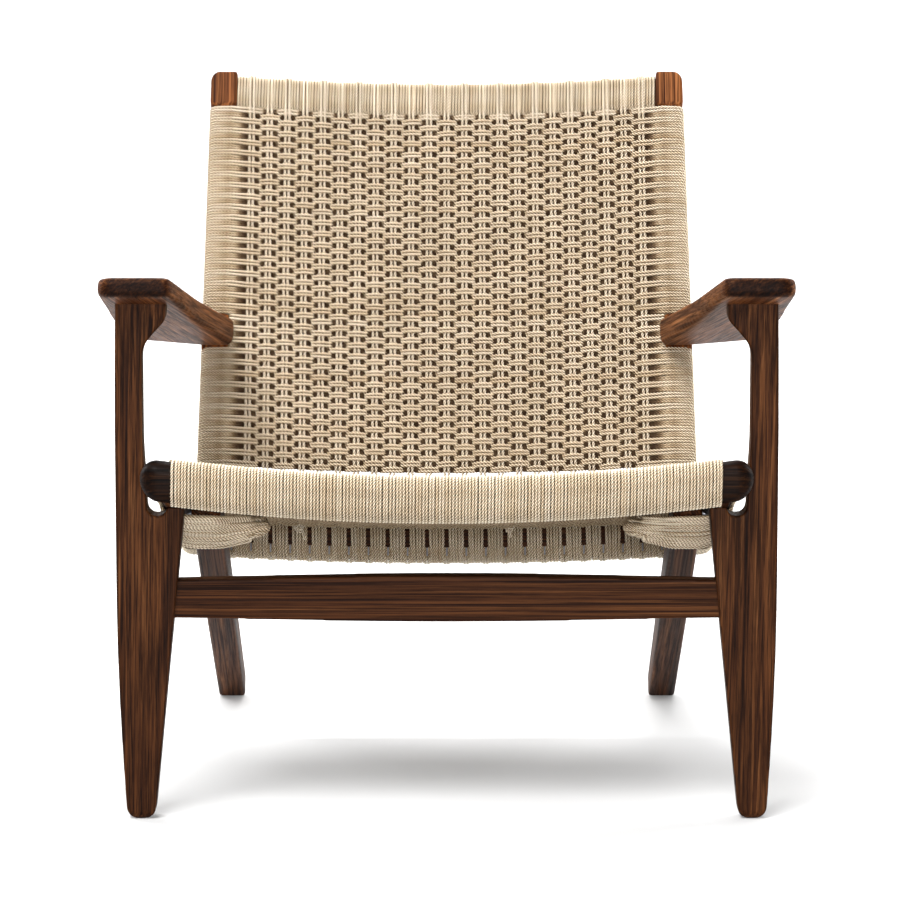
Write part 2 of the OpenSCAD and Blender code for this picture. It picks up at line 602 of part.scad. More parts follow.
module cord_bundle(side) color("wheat") right_and_left(side) difference() {
    union() {
        hull() {
            bundle_slice(bundle_start + 0.5);
            bundle_slice(bundle_end - 0.5);
        }
        hull() {
            in_seat() box(rear_leg_in - cord_d, rear_leg_in, bundle_start + 14, bundle_end - 4,
                leg_up(bundle_end) - rear_leg_t / 2, seat_side_up - weave_t - 4);
            in_seat() translate([rear_leg_in - bundle_reach, bundle_end - 24, seat_side_up - weave_t - 24])
                sphere(r = 7, $fn = 12);
        }
    }
    side_rail_blank();
    rear_leg_blank();
    front_leg_blank();
    head_bolts(0);
    in_seat() box(0, weave_half, -big, big, seat_side_up - weave_t - 4, big);
}
module seat_nails() color("gray") for (i = [0:warp_count - 1]) {
    x = (i - (warp_count - 1) / 2) * warp_pitch;
    fall = rear_rail_sag * (1 - pow(x / rail_in, 2));
    in_seat() translate([x, rear_rail_along - rear_rail_t / 2, -fall - rear_rail_h * 0.2]) {
        rotate([90, 0, 0]) cylinder(h = cord_d + 1, d = nail_d, $fn = 16);
        translate([0, -cord_d - 1, -nail_foot + nail_d / 2]) cylinder(h = nail_foot, d = nail_d, $fn = 16);
    }
}

front_leg(-1);  // front_leg_left
front_leg(1);  // front_leg_right
rear_leg(-1);  // rear_leg_left
rear_leg(1);  // rear_leg_right
armrest(-1);  // armrest_left
armrest(1);  // armrest_right
front_stretcher();
rear_stretcher();
seat_front_rail();
seat_rear_rail();
seat_side_rail(-1);  // seat_side_rail_left
seat_side_rail(1);  // seat_side_rail_right
back_stile(-1);  // back_stile_left
back_stile(1);  // back_stile_right
back_top_rail();
back_bottom_rail();
arm_front_dowel(-1);  // arm_front_dowel_left
arm_front_dowel(1);  // arm_front_dowel_right
arm_rear_dowels(-1);  // arm_rear_dowels_left
arm_rear_dowels(1);  // arm_rear_dowels_right
prong_dowel(-1);  // prong_dowel_left
prong_dowel(1);  // prong_dowel_right
leg_head_bolts(-1);  // leg_head_bolts_left
leg_head_bolts(1);  // leg_head_bolts_right
seat_bolt(-1);  // seat_bolt_left
seat_bolt(1);  // seat_bolt_right
stile_foot_bolt(-1);  // stile_foot_bolt_left
stile_foot_bolt(1);  // stile_foot_bolt_right
seat_nails();
seat_weave();
back_weave();
front_rail_wrap();
rear_rail_wrap();
top_rail_wrap();
bottom_rail_wrap();
stile_wrap(-1);  // stile_wrap_left
stile_wrap(1);  // stile_wrap_right
side_rail_wrap(-1);  // side_rail_wrap_left
side_rail_wrap(1);  // side_rail_wrap_right
cord_bundle(-1);  // cord_bundle_left
cord_bundle(1);  // cord_bundle_right
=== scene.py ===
import math
import bpy
import numpy as np
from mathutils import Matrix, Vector


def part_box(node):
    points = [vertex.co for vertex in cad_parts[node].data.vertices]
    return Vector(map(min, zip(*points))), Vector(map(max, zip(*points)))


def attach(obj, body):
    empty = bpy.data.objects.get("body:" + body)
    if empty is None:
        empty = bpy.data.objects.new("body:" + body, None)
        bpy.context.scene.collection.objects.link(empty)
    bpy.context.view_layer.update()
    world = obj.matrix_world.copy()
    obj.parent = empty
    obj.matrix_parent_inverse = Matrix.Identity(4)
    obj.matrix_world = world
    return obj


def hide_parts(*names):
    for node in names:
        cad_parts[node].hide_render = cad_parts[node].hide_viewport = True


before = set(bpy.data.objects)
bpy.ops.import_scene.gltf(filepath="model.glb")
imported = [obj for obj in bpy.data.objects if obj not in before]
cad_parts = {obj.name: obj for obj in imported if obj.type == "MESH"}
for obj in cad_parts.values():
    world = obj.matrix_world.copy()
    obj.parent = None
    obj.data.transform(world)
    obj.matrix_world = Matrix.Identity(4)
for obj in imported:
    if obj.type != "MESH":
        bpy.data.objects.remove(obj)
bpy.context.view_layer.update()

MM = 0.001
rng = np.random.default_rng(25)

# Sizes that the CAD model sets, in metres and radians
SEAT_SLOPE = math.radians(16.3)
RECLINE = math.radians(29)
SPLAY = math.radians(1)
ARM_SLOPE = math.radians(12)
CORD_D = 3.3 * MM
CORD_R = CORD_D / 2
STILE_W, STILE_T = 30.5 * MM, 30 * MM
STILE_BARE = 46 * MM
SIDE_RAIL_W, SIDE_RAIL_H = 30 * MM, 37 * MM
FRONT_RAIL_H, FRONT_RAIL_T, FRONT_SAG = 42 * MM, 30 * MM, 22 * MM
REAR_RAIL_H, REAR_RAIL_T, REAR_SAG = 38 * MM, 24 * MM, 8 * MM
BACK_RAIL_H, BACK_RAIL_T, BACK_BOW = 38 * MM, 22 * MM, 24 * MM
REAR_LEG_T, REAR_LEG_W = 40 * MM, 31 * MM
SEAT_WARP_PITCH, BACK_WARP_PITCH, WARPS = 22 * MM, 20.2 * MM, 23
WEFT_PITCH = 6.7 * MM


# ---- the two local frames, found from the CAD boxes ----
def corners(node):
    low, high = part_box(node)
    return np.array(low), np.array(high)


stile_low, stile_high = corners("back_stile_right")
back_origin = np.array([0, stile_high[1] - STILE_T * math.cos(RECLINE), stile_high[2]])
back_v = np.array([0, math.cos(RECLINE), -math.sin(RECLINE)])
back_u = np.array([0, -math.sin(RECLINE), -math.cos(RECLINE)])

rail_low, rail_high = corners("seat_side_rail_right")
rail_end = np.array([0, rail_high[1] - SIDE_RAIL_H / 2 * math.sin(SEAT_SLOPE),
                     rail_low[2] + SIDE_RAIL_H / 2 * math.cos(SEAT_SLOPE)])
leg_low, leg_high = corners("front_leg_right")
seat_a = np.array([0, math.cos(SEAT_SLOPE), -math.sin(SEAT_SLOPE)])
seat_h = np.array([0, math.sin(SEAT_SLOPE), math.cos(SEAT_SLOPE)])
seat_origin = rail_end - seat_a * (rail_end[1] - leg_low[1]) / math.cos(SEAT_SLOPE)
RAIL_END = float(np.linalg.norm(rail_end - seat_origin))
RAIL_IN, RAIL_OUT = rail_low[0], rail_high[0]


def back_point(x, v, u):
    x, v, u = np.broadcast_arrays(x, v, u)
    p = back_origin + v[..., None] * back_v + u[..., None] * back_u
    p[..., 0] = x
    return p


def seat_point(x, a, h):
    x, a, h = np.broadcast_arrays(x, a, h)
    p = seat_origin + a[..., None] * seat_a + h[..., None] * seat_h
    p[..., 0] = x
    return p


def in_back(p):
    """(v, u) of a point in the row frame."""
    d = np.array(p) - back_origin
    return float(d @ back_v), float(d @ back_u)


def in_seat(p):
    """(a, h) of a point in the row frame."""
    d = np.array(p) - seat_origin
    return float(d @ seat_a), float(d @ seat_h)


# ---- twisted cord ----
RING_STEP = 1.45 * MM
PIECE_QUADS = 96000
TWIST = 11.2 * MM
SIDES = 6


class Cords:
    """Collects strands and makes one mesh of them, each a three-ply twisted cord."""

    def __init__(self, name, step=RING_STEP):
        self.name, self.step = name, step
        self.verts, self.faces, self.tone, self.groove, self.open = [], [], [], [], []
        self.count = 0

    def add(self, path, side, radius=CORD_R, tone=None, opening=None, front=None, flank=0.6, wide=1.0):
        """path: points along the strand. side: a direction, or one for each point, that is nowhere along the path.
        opening: for each point, how much light reaches its front and its rear, painted into the colour as shade through
        the attribute 'open'; front: which way is the front there; flank: how much of that light the sides keep, also
        painted shade.
        wide: how far the cord is flattened along side."""
        path = np.asarray(path, float)
        seg = np.linalg.norm(np.diff(path, axis=0), axis=1)
        keep = np.r_[True, seg > 1e-7]
        path = path[keep]
        side = np.tile(np.asarray(side, float), (len(path), 1))
        if front is not None:
            front = np.asarray(front, float)
            front = np.tile(front, (len(path), 1)) if front.ndim == 1 else front[keep]
            opening = [np.ones(len(keep))] * 2 if opening is None else opening
        if np.ndim(wide):
            wide = np.asarray(wide)[keep]
        along = np.r_[0, np.cumsum(np.linalg.norm(np.diff(path, axis=0), axis=1))]
        n = max(int(along[-1] / self.step), 3)
        s = np.linspace(0, along[-1], n + 1)
        pts = np.stack([np.interp(s, along, path[:, k]) for k in range(3)], 1)
        ref = np.stack([np.interp(s, along, side[:, k]) for k in range(3)], 1)
        tan = np.gradient(pts, axis=0)
        tan /= np.linalg.norm(tan, axis=1)[:, None] + 1e-12
        nor = ref - (ref * tan).sum(1)[:, None] * tan
        nor /= np.linalg.norm(nor, axis=1)[:, None] + 1e-12
        bi = np.cross(tan, nor)
        phase = rng.uniform(0, 2 * math.pi)
        twist = phase + 2 * math.pi * s / TWIST
        angle = twist[:, None] + np.arange(SIDES) * 2 * math.pi / SIDES
        r = radius * np.where(np.arange(SIDES) % 2 == 0, 1.10, 0.70)
        if np.ndim(wide):
            wide = np.interp(s, along, wide)[:, None]
        ring = (np.cos(angle) * r * wide)[..., None] * nor[:, None] + (np.sin(angle) * r)[..., None] * bi[:, None]
        v = (pts[:, None] + ring).reshape(-1, 3)
        k = n + 1
        i = np.arange(k - 1)[:, None] * SIDES
        j = np.arange(SIDES)[None]
        j2 = (j + 1) % SIDES
        f = np.stack([i + j, i + j2, i + SIDES + j2, i + SIDES + j], -1).reshape(-1, 4)
        cap = [[0, 3, 2, 1], [0, 5, 4, 3]]
        last = (k - 1) * SIDES
        cap2 = [[last, last + 1, last + 2, last + 3], [last, last + 3, last + 4, last + 5]]
        f = np.vstack([f, cap, cap2])
        self.verts.append(v)
        self.faces.append(f + self.count)
        self.count += len(v)
        t = rng.normal(0.5, 0.17) if tone is None else tone
        self.tone.append(np.full(len(v), np.clip(t, 0, 1)))
        # painted shade: groove is 1 on the valley vertices between the plies, which the cord material darkens
        self.groove.append(np.tile(np.where(np.arange(SIDES) % 2 == 0, 0.0, 1.0), k))
        # painted shade: 'open' is how much light reaches the side each vertex faces, front or rear, with the flanks at
        # flank times their mean; the cord material darkens by it
        if front is None:
            self.open.append(np.ones(len(v)))
        else:
            both = [np.interp(s, along, np.asarray(o, float)[keep])[:, None] for o in opening]
            way = np.stack([np.interp(s, along, front[:, k]) for k in range(3)], 1)
            way /= np.linalg.norm(way, axis=1)[:, None] + 1e-12
            facing = np.cos(angle) * (nor * way).sum(1)[:, None] + np.sin(angle) * (bi * way).sum(1)[:, None]
            flanks = flank * (both[0] + both[1]) / 2
            lit = np.where(facing > 0, both[0], both[1])
            self.open.append((flanks + (lit - flanks) * np.abs(facing)).ravel())

    def make(self, material, *nodes):
        """One mesh of all the strands, or several where one would be too heavy."""
        groups, quads = [[]], 0
        for n, f in enumerate(self.faces):
            if quads + len(f) > PIECE_QUADS:
                groups.append([])
                quads = 0
            groups[-1].append(n)
            quads += len(f)
        for n, group in enumerate(groups):
            name = self.name if len(groups) == 1 else f"{self.name}_{n + 1}"
            self.make_group(name, group, material, nodes)

    def make_group(self, piece, group, material, nodes):
        me = bpy.data.meshes.new(piece)
        v = np.vstack([self.verts[n] for n in group]).astype(np.float32)
        f = np.vstack([self.faces[n] for n in group]).astype(np.int32)
        f -= f.min()
        me.vertices.add(len(v))
        me.vertices.foreach_set("co", v.ravel())
        me.loops.add(f.size)
        me.loops.foreach_set("vertex_index", f.ravel())
        me.polygons.add(len(f))
        me.polygons.foreach_set("loop_start", np.arange(len(f), dtype=np.int32) * 4)
        me.polygons.foreach_set("use_smooth", np.ones(len(f), bool))
        for name, values in (("tone", self.tone), ("groove", self.groove), ("open", self.open)):
            a = me.attributes.new(name, "FLOAT", "POINT")
            a.data.foreach_set("value", np.concatenate([values[n] for n in group]).astype(np.float32))
        me.update(calc_edges=True)
        me.validate()
        ob = bpy.data.objects.new(piece, me)
        bpy.context.scene.collection.objects.link(ob)
        me.materials.append(material)
        if nodes:
            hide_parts(*nodes)
        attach(ob, "root")


def loop_section(w, h, r, grow, start, turns=1.0, steps=7):
    """Points (p, q) round a rounded rectangle w by h, grown by grow, from the side angle start, clockwise or not by the sign of turns."""
    r2 = r + grow
    hw, hh = w / 2 - r, h / 2 - r
    pts = []
    for k, (cx, cy) in enumerate(((hw, hh), (-hw, hh), (-hw, -hh), (hw, -hh))):
        for t in np.linspace(0, 1, steps):
            a = math.radians(90 * (k + t))
            pts.append((cx + r2 * math.cos(a), cy + r2 * math.sin(a)))
    pts = np.array(pts + [pts[0]])
    s = np.r_[0, np.cumsum(np.linalg.norm(np.diff(pts, axis=0), axis=1))]
    total = s[-1]
    n = int(120 * abs(turns)) + 2
    want = (start * total + np.linspace(0, turns, n) * total) % total
    return np.stack([np.interp(want, s, pts[:, k]) for k in range(2)], 1), total


# ---- materials ----
def new_material(name):
    m = bpy.data.materials.new(name)
    m.use_nodes = True
    nt = m.node_tree
    return m, nt, nt.nodes["Principled BSDF"]


def add(nt, kind, **values):
    n = nt.nodes.new(kind)
    for k, v in values.items():
        if k in n.inputs:
            n.inputs[k].default_value = v
        else:
            setattr(n, k, v)
    return n


def ramp(nt, source, stops):
    n = nt.nodes.new("ShaderNodeValToRGB")
    cr = n.color_ramp
    while len(cr.elements) > 1:
        cr.elements.remove(cr.elements[-1])
    cr.elements[0].position, cr.elements[0].color = stops[0][0], (*stops[0][1], 1)
    for pos, col in stops[1:]:
        e = cr.elements.new(pos)
        e.color = (*col, 1)
    nt.links.new(source, n.inputs["Fac"])
    return n.outputs["Color"]


def mix(nt, kind, fac, a, b):
    n = nt.nodes.new("ShaderNodeMix")
    n.data_type, n.blend_type = "RGBA", kind
    for sock, val in ((n.inputs[0], fac), (n.inputs[6], a), (n.inputs[7], b)):
        if isinstance(val, (int, float)):
            sock.default_value = val
        elif isinstance(val, tuple):
            sock.default_value = (*val, 1)
        else:
            nt.links.new(val, sock)
    return n.outputs[2]


def walnut(name, direction, shade=1.0, gloss=0.42, end=None):
    """Oiled walnut with its grain along direction, a vector in the row frame."""
    m, nt, bsdf = new_material(name)
    co = nt.nodes.new("ShaderNodeTexCoord")
    turn = Vector(direction).to_track_quat("X", "Z").inverted().to_euler()
    place = add(nt, "ShaderNodeMapping")
    place.vector_type = "POINT"
    place.inputs["Rotation"].default_value = turn
    nt.links.new(co.outputs["Object"], place.inputs["Vector"])
    roll = add(nt, "ShaderNodeMapping")
    roll.inputs["Rotation"].default_value = (math.radians(32), 0, 0)
    nt.links.new(place.outputs["Vector"], roll.inputs["Vector"])

    def stretched(scale, offset=(0, 0, 0)):
        n = add(nt, "ShaderNodeMapping")
        n.inputs["Scale"].default_value = scale
        n.inputs["Location"].default_value = offset
        nt.links.new(roll.outputs["Vector"], n.inputs["Vector"])
        return n.outputs["Vector"]

    broad = add(nt, "ShaderNodeTexNoise", Scale=1.0, Detail=3.0, Roughness=0.5, Distortion=0.4)
    nt.links.new(stretched((1.4, 22, 45)), broad.inputs["Vector"])
    rings = add(nt, "ShaderNodeTexNoise", Scale=1.0, Detail=4.0, Roughness=0.6, Distortion=0.6)
    nt.links.new(stretched((1.7, 120, 310), (3, 1, 2)), rings.inputs["Vector"])
    fine = add(nt, "ShaderNodeTexNoise", Scale=1.0, Detail=4.0, Roughness=0.7)
    nt.links.new(stretched((5, 360, 640), (1, 5, 3)), fine.inputs["Vector"])
    pores = add(nt, "ShaderNodeTexNoise", Scale=1.0, Detail=2.0, Roughness=0.5)
    nt.links.new(stretched((26, 1100, 1300), (7, 2, 4)), pores.inputs["Vector"])
    # shade scales the whole colour, making lighter or darker copies of one walnut; the lighter ones are painted light
    c1 = ramp(nt, rings.outputs["Fac"], [
        (0.31, (0.0075 * shade, 0.0021 * shade, 0.0006 * shade)), (0.45, (0.025 * shade, 0.0078 * shade, 0.0022 * shade)),
        (0.57, (0.048 * shade, 0.0168 * shade, 0.0050 * shade)), (0.74, (0.092 * shade, 0.038 * shade, 0.0135 * shade))])
    c2 = ramp(nt, broad.outputs["Fac"], [(0.3, (0.62, 0.58, 0.56)), (0.7, (1.25, 1.25, 1.25))])
    c3 = ramp(nt, fine.outputs["Fac"], [(0.40, (0.36, 0.32, 0.30)), (0.56, (1.32, 1.32, 1.32))])
    c4 = ramp(nt, pores.outputs["Fac"], [(0.30, (0.30, 0.28, 0.26)), (0.42, (1, 1, 1))])
    col = mix(nt, "MULTIPLY", 1.0, c1, c2)
    col = mix(nt, "MULTIPLY", 1.0, col, c3)
    col = mix(nt, "MULTIPLY", 0.7, col, c4)
    if end is not None:
        split = add(nt, "ShaderNodeSeparateXYZ")
        nt.links.new(co.outputs["Object"], split.inputs[0])
        near = add(nt, "ShaderNodeMapRange")
        near.inputs["From Min"].default_value, near.inputs["From Max"].default_value = end, end + 9 * MM
        nt.links.new(split.outputs["Y"], near.inputs["Value"])
        col = mix(nt, "MULTIPLY", 1.0, col, ramp(nt, near.outputs["Result"], [(0.0, (0.10, 0.085, 0.08)), (1.0, (1, 1, 1))]))
    nt.links.new(col, bsdf.inputs["Base Color"])
    rough = ramp(nt, fine.outputs["Fac"], [(0.3, (0.62, 0.62, 0.62)), (0.7, (gloss, gloss, gloss))])
    nt.links.new(rough, bsdf.inputs["Roughness"])
    bsdf.inputs["Specular IOR Level"].default_value = 0.05
    bump = add(nt, "ShaderNodeBump", Strength=0.2, Distance=0.0003)
    both = mix(nt, "MULTIPLY", 1.0, c3, c4)
    nt.links.new(both, bump.inputs["Height"])
    nt.links.new(bump.outputs["Normal"], bsdf.inputs["Normal"])
    return m


def paper_cord(name, light=1.0):
    """Twisted natural paper: each strand has its own tone; painted shade darkens the valleys between the plies and
    lightens their crests.
    """
    m, nt, bsdf = new_material(name)
    co = nt.nodes.new("ShaderNodeTexCoord")
    tone = add(nt, "ShaderNodeAttribute", attribute_name="tone")
    groove = add(nt, "ShaderNodeAttribute", attribute_name="groove")
    patch = add(nt, "ShaderNodeTexNoise", Scale=26.0, Detail=3.0, Roughness=0.6)
    nt.links.new(co.outputs["Object"], patch.inputs["Vector"])
    fibre = add(nt, "ShaderNodeTexNoise", Scale=1400.0, Detail=3.0, Roughness=0.7)
    nt.links.new(co.outputs["Object"], fibre.inputs["Vector"])
    base = ramp(nt, tone.outputs["Fac"], [
        (0.0, (0.78 * light, 0.66 * light, 0.49 * light)), (0.5, (0.90 * light, 0.81 * light, 0.66 * light)),
        (1.0, (0.95 * light, 0.885 * light, 0.77 * light))])
    # painted shade: where little light reaches (open low), deep in the weave and on the flanks, the cord is darkened
    # down to near black
    opening = add(nt, "ShaderNodeAttribute", attribute_name="open")
    o = ramp(nt, opening.outputs["Fac"], [(0.0, (0.075, 0.045, 0.025)), (0.3, (0.22, 0.155, 0.095)),
                                          (0.6, (0.62, 0.55, 0.45)), (0.9, (1.0, 1.0, 1.0))])
    p = ramp(nt, patch.outputs["Fac"], [(0.3, (0.88, 0.86, 0.82)), (0.7, (1.06, 1.06, 1.06))])
    # painted shade in the ply valleys (groove 1) and painted light on the crests (groove 0, times 1.16)
    g = ramp(nt, groove.outputs["Fac"], [(0.2, (1.16, 1.16, 1.16)), (0.85, (0.15, 0.095, 0.055))])
    f = ramp(nt, fibre.outputs["Fac"], [(0.3, (0.84, 0.82, 0.78)), (0.65, (1.05, 1.05, 1.05))])
    col = mix(nt, "MULTIPLY", 1.0, base, p)
    col = mix(nt, "MULTIPLY", 1.0, col, g)
    col = mix(nt, "MULTIPLY", 0.8, col, f)
    col = mix(nt, "MULTIPLY", 1.0, col, o)
    nt.links.new(col, bsdf.inputs["Base Color"])
    rough = ramp(nt, fibre.outputs["Fac"], [(0.3, (0.9, 0.9, 0.9)), (0.7, (0.7, 0.7, 0.7))])
    nt.links.new(rough, bsdf.inputs["Roughness"])
    bsdf.inputs["Specular IOR Level"].default_value = 0.3
    bump = add(nt, "ShaderNodeBump", Strength=0.3, Distance=0.00025)
    nt.links.new(fibre.outputs["Fac"], bump.inputs["Height"])
    nt.links.new(bump.outputs["Normal"], bsdf.inputs["Normal"])
    return m


cord_material = paper_cord("natural_paper_cord")
# painted shade: a flat dark material for the sheets put inside the weaves where there is only shade
shade_material, nt, bsdf = new_material("weave_painted_shade")
co = nt.nodes.new("ShaderNodeTexCoord")
patch = add(nt, "ShaderNodeTexNoise", Scale=160.0, Detail=3.0, Roughness=0.6)
nt.links.new(co.outputs["Object"], patch.inputs["Vector"])
nt.links.new(ramp(nt, patch.outputs["Fac"], [(0.3, (0.016, 0.009, 0.005)), (0.7, (0.05, 0.031, 0.018))]), bsdf.inputs["Base Color"])
bsdf.inputs["Roughness"].default_value = 1.0
bsdf.inputs["Specular IOR Level"].default_value = 0.0

# ---- the woven back ----
stile_shift_per_u = math.tan(SPLAY)
stile_top_out = stile_high[0]
# the outer face of a stile stands further out lower down
top_u_ref = 0.0
rail_cross_u = None


def stile_out_at(u):
    """Outer face of the right stile at a distance u below its top."""
    return top_out + np.asarray(u) * stile_shift_per_u


wrap_low, wrap_high = corners("stile_wrap_right")
# the wrap's highest point sits where the bare top ends; its outer face is half a millimetre proud of the wood
stile_verts = np.array([v.co[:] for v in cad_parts["back_stile_right"].data.vertices])
stile_u = (stile_verts - back_origin) @ back_u
top_out = stile_verts[stile_u < 1 * MM][:, 0].max()

top_rail_low, top_rail_high = corners("top_rail_wrap")
top_u = 1.8 * MM + CORD_D + BACK_RAIL_H / 2
_, bottom_u = in_back((np.array(corners("bottom_rail_wrap")[0]) + np.array(corners("bottom_rail_wrap")[1])) / 2)
BACK_V = BACK_RAIL_T / 2 + CORD_D
weave_u0 = top_u + BACK_RAIL_H / 2 + CORD_D
weave_u1 = bottom_u - BACK_RAIL_H / 2 - CORD_D
back_half = float(stile_out_at(weave_u1) - STILE_W)


def bow(x, half):
    return BACK_BOW * (1 - np.clip(np.abs(x) / half, 0, 1) ** 2)


arm_low, arm_high = corners("armrest_right")
arm_dir = np.array([0, math.cos(ARM_SLOPE), -math.sin(ARM_SLOPE)])
bare_u = np.sort(stile_u)
wrap_u = (np.array([v.co[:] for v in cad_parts["stile_wrap_right"].data.vertices]) - back_origin) @ back_u
wrap_u.sort()
steps = np.flatnonzero(np.diff(wrap_u) > 10 * MM)
arm_gap = (wrap_u[steps[1]], wrap_u[steps[1] + 1])


def undulate(x, row, pitch, first=0):
    """+1 where the weft is in front of a warp and -1 where it is behind it."""
    i = x / pitch + (WARPS - 1) / 2
    c = np.cos(math.pi * i) * (1 if (row + first) % 2 == 0 else -1)
    return np.sign(c) * np.abs(c) ** 0.75


def smooth(x, low, high):
    t = np.clip((x - low) / (high - low), 0, 1)
    return t * t * (3 - 2 * t)


def openings(level, ends):
    """How much light reaches the front and the rear of a weft, as painted shade, from its level in the weave and the
    openness of its ends: the part sunk behind the warps is dark.
    """
    both = []
    for sign in (1, -1):
        o = smooth(sign * level, -0.72, -0.02)
        both.append(np.concatenate([ends[0], o, ends[1]]))
    return both


def painted_shade_sheets(name, low, high, reach, place, level, gap=0.5 * MM):
    """Painted shade for the deep space between the two faces of a weave: two thin dark sheets at its middle, with the
    cords rising out of them.
    """
    rows, cols = 60, 33
    vs, fs = [], []
    for side in (-1, 1):
        for i in range(rows):
            u = low + (high - low) * i / (rows - 1)
            x = np.linspace(-1, 1, cols) * reach(u)
            vs.append(place(x, level(x, u) + side * gap, np.full(cols, u)))
        first = rows * cols * (side > 0)
        for i in range(rows - 1):
            for j in range(cols - 1):
                p = first + i * cols + j
                fs.append((p, p + 1, p + cols + 1, p + cols))
    me = bpy.data.meshes.new(name)
    me.from_pydata(np.vstack(vs).tolist(), [], fs)
    me.materials.append(shade_material)
    ob = bpy.data.objects.new(name, me)
    bpy.context.scene.collection.objects.link(ob)
    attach(ob, "root")


def make_back():
    weft = Cords("back_weft_cord")
    rows = int((weave_u1 - weave_u0 + 2 * MM) / WEFT_PITCH)
    lead = math.pi
    for row in range(rows):
        u_mid = weave_u0 + WEFT_PITCH * (row + 0.5) - 2.5 * MM
        at_arm = arm_gap[0] - 1 * MM < u_mid < arm_gap[1] + 1 * MM
        out = float(stile_out_at(u_mid))
        inner = out - STILE_W
        mid = out - STILE_W / 2
        core_w, core_t = STILE_W + 1 * MM - 2 * CORD_D, STILE_T + 1 * MM - 2 * CORD_D
        for k in (-1, 1):
            # round the stile: from the inner face over the back, the outer side and on to the front
            sec, total = loop_section(core_w, core_t, 5 * MM, CORD_R, 0.0, 1.0)
            xs = np.arange(-inner + 1 * MM, inner - 1 * MM, 1.0 * MM)
            last_warp = (WARPS - 1) / 2 * BACK_WARP_PITCH
            s = undulate(np.clip(xs, -last_warp, last_warp), row, BACK_WARP_PITCH)
            edge = np.clip((inner - np.abs(xs)) / (inner - last_warp), 0, 1)
            edge = edge * edge * (3 - 2 * edge)
            if k == -1:
                row_jitter = rng.normal(0, 0.3, 24)
            jitter = row_jitter + rng.normal(0, 0.1, 24)
            wob = np.interp(xs, np.linspace(-inner, inner, 24), jitter) * MM
            v = 3.3 * MM + bow(xs, back_half) - 2.35 * MM * s * edge - (1 - edge) * (1.9 + 0.5 * (s > 0)) * MM
            spread = (1.68 + (0.30 * np.clip(s, 0, 1) - 0.12 * np.clip(-s, 0, 1)) * edge) * MM
            spread = spread + np.where(s < 0, -0.3, 0.24) * (1 - edge) * MM
            u = u_mid + k * spread + wob - 1.35 * MM * np.clip(-s, -0.2, 1) * edge
            panel = np.stack([xs, v, u], 1)
            ends, ways, clear = [], [], []
            for side in (1, -1):
                over_first = (s[-1] if side > 0 else s[0]) > 0
                if at_arm:
                    # tucked round the inner face only
                    t = np.linspace(0, 1, 14)
                    a = t * math.pi / 2
                    ex = (inner - 1.2 * MM) * np.ones_like(t)
                    loop = np.stack([side * ex, 1.4 * MM + 22 * MM * t, np.full_like(t, u_mid + k * 1.62 * MM)], 1)
                    way = np.tile(-back_v, (len(t), 1))
                    clear.append(np.ones(len(t)))
                else:
                    t = np.linspace(0, 1, 90)
                    hw, hh, rr = core_w / 2 - 5 * MM, core_t / 2 - 5 * MM, 5 * MM + CORD_R
                    # go round: front face outward, outer side, back face, inner side
                    pts = [(-hw - 2 * MM, -hh - rr)]
                    for cx, cy, a0 in ((hw, -hh, -90), (hw, hh, 0), (-hw, hh, 90)):
                        for q in np.linspace(0, 90, 7):
                            a = math.radians(a0 + q)
                            pts.append((cx + rr * math.cos(a), cy + rr * math.sin(a)))
                    pts.append((-hw - rr, -hh + 4 * MM))
                    pts = np.array(pts)
                    lean = np.linspace(0, 1, len(pts)) * WEFT_PITCH * 0.5
                    # the pairs part towards the weave: those going over the first warps stand out, the others sink,
                    # with painted shade (clear) on their front towards the inner edge
                    near = np.clip(-pts[:, 0] / (STILE_W / 2), 0, 1) * (pts[:, 1] < 0)
                    apart = 1.62 + (0.3 if over_first else -0.24) * near
                    loop = np.stack([side * (mid + pts[:, 0]), STILE_T / 2 + pts[:, 1] - 0.5 * MM * near * over_first,
                                     u_mid + k * apart * MM + lean], 1)
                    clear.append(1 - (0 if over_first else 0.66) * near ** 1.5)
                    way = pts[:, 1:] * back_v
                    way[:, 0] = side * pts[:, 0]
                ends.append(loop)
                ways.append(way)
            path = np.vstack([ends[1][::-1], panel, ends[0]])
            # painted shade: openings() darkens the parts that sink behind the warps, and flank=0.3 darkens the sides
            weft.add(back_point(path[:, 0], path[:, 1], path[:, 2]), -back_u, CORD_R * 1.08,
                     opening=openings(np.where(s < 0, s * (0.22 + 0.78 * edge), s * edge), (clear[1][::-1], clear[0])),
                     front=np.vstack([ways[1][::-1], np.tile(-back_v, (len(xs), 1)), ways[0]]), flank=0.3,
                     wide=np.r_[np.full(len(ends[1]), 0.94), 0.94 + 0.2 * edge, np.full(len(ends[0]), 0.94)])
    weft.make(cord_material, "back_weave", "stile_wrap_left", "stile_wrap_right")
    # painted shade: dark sheets inside the back weave
    painted_shade_sheets("back_weave_shade", weave_u0 + 2 * MM, weave_u1 - 3 * MM, lambda u: float(stile_out_at(u)) - STILE_W - 1 * MM,
          back_point, lambda x, u: 3.3 * MM + bow(x, back_half))

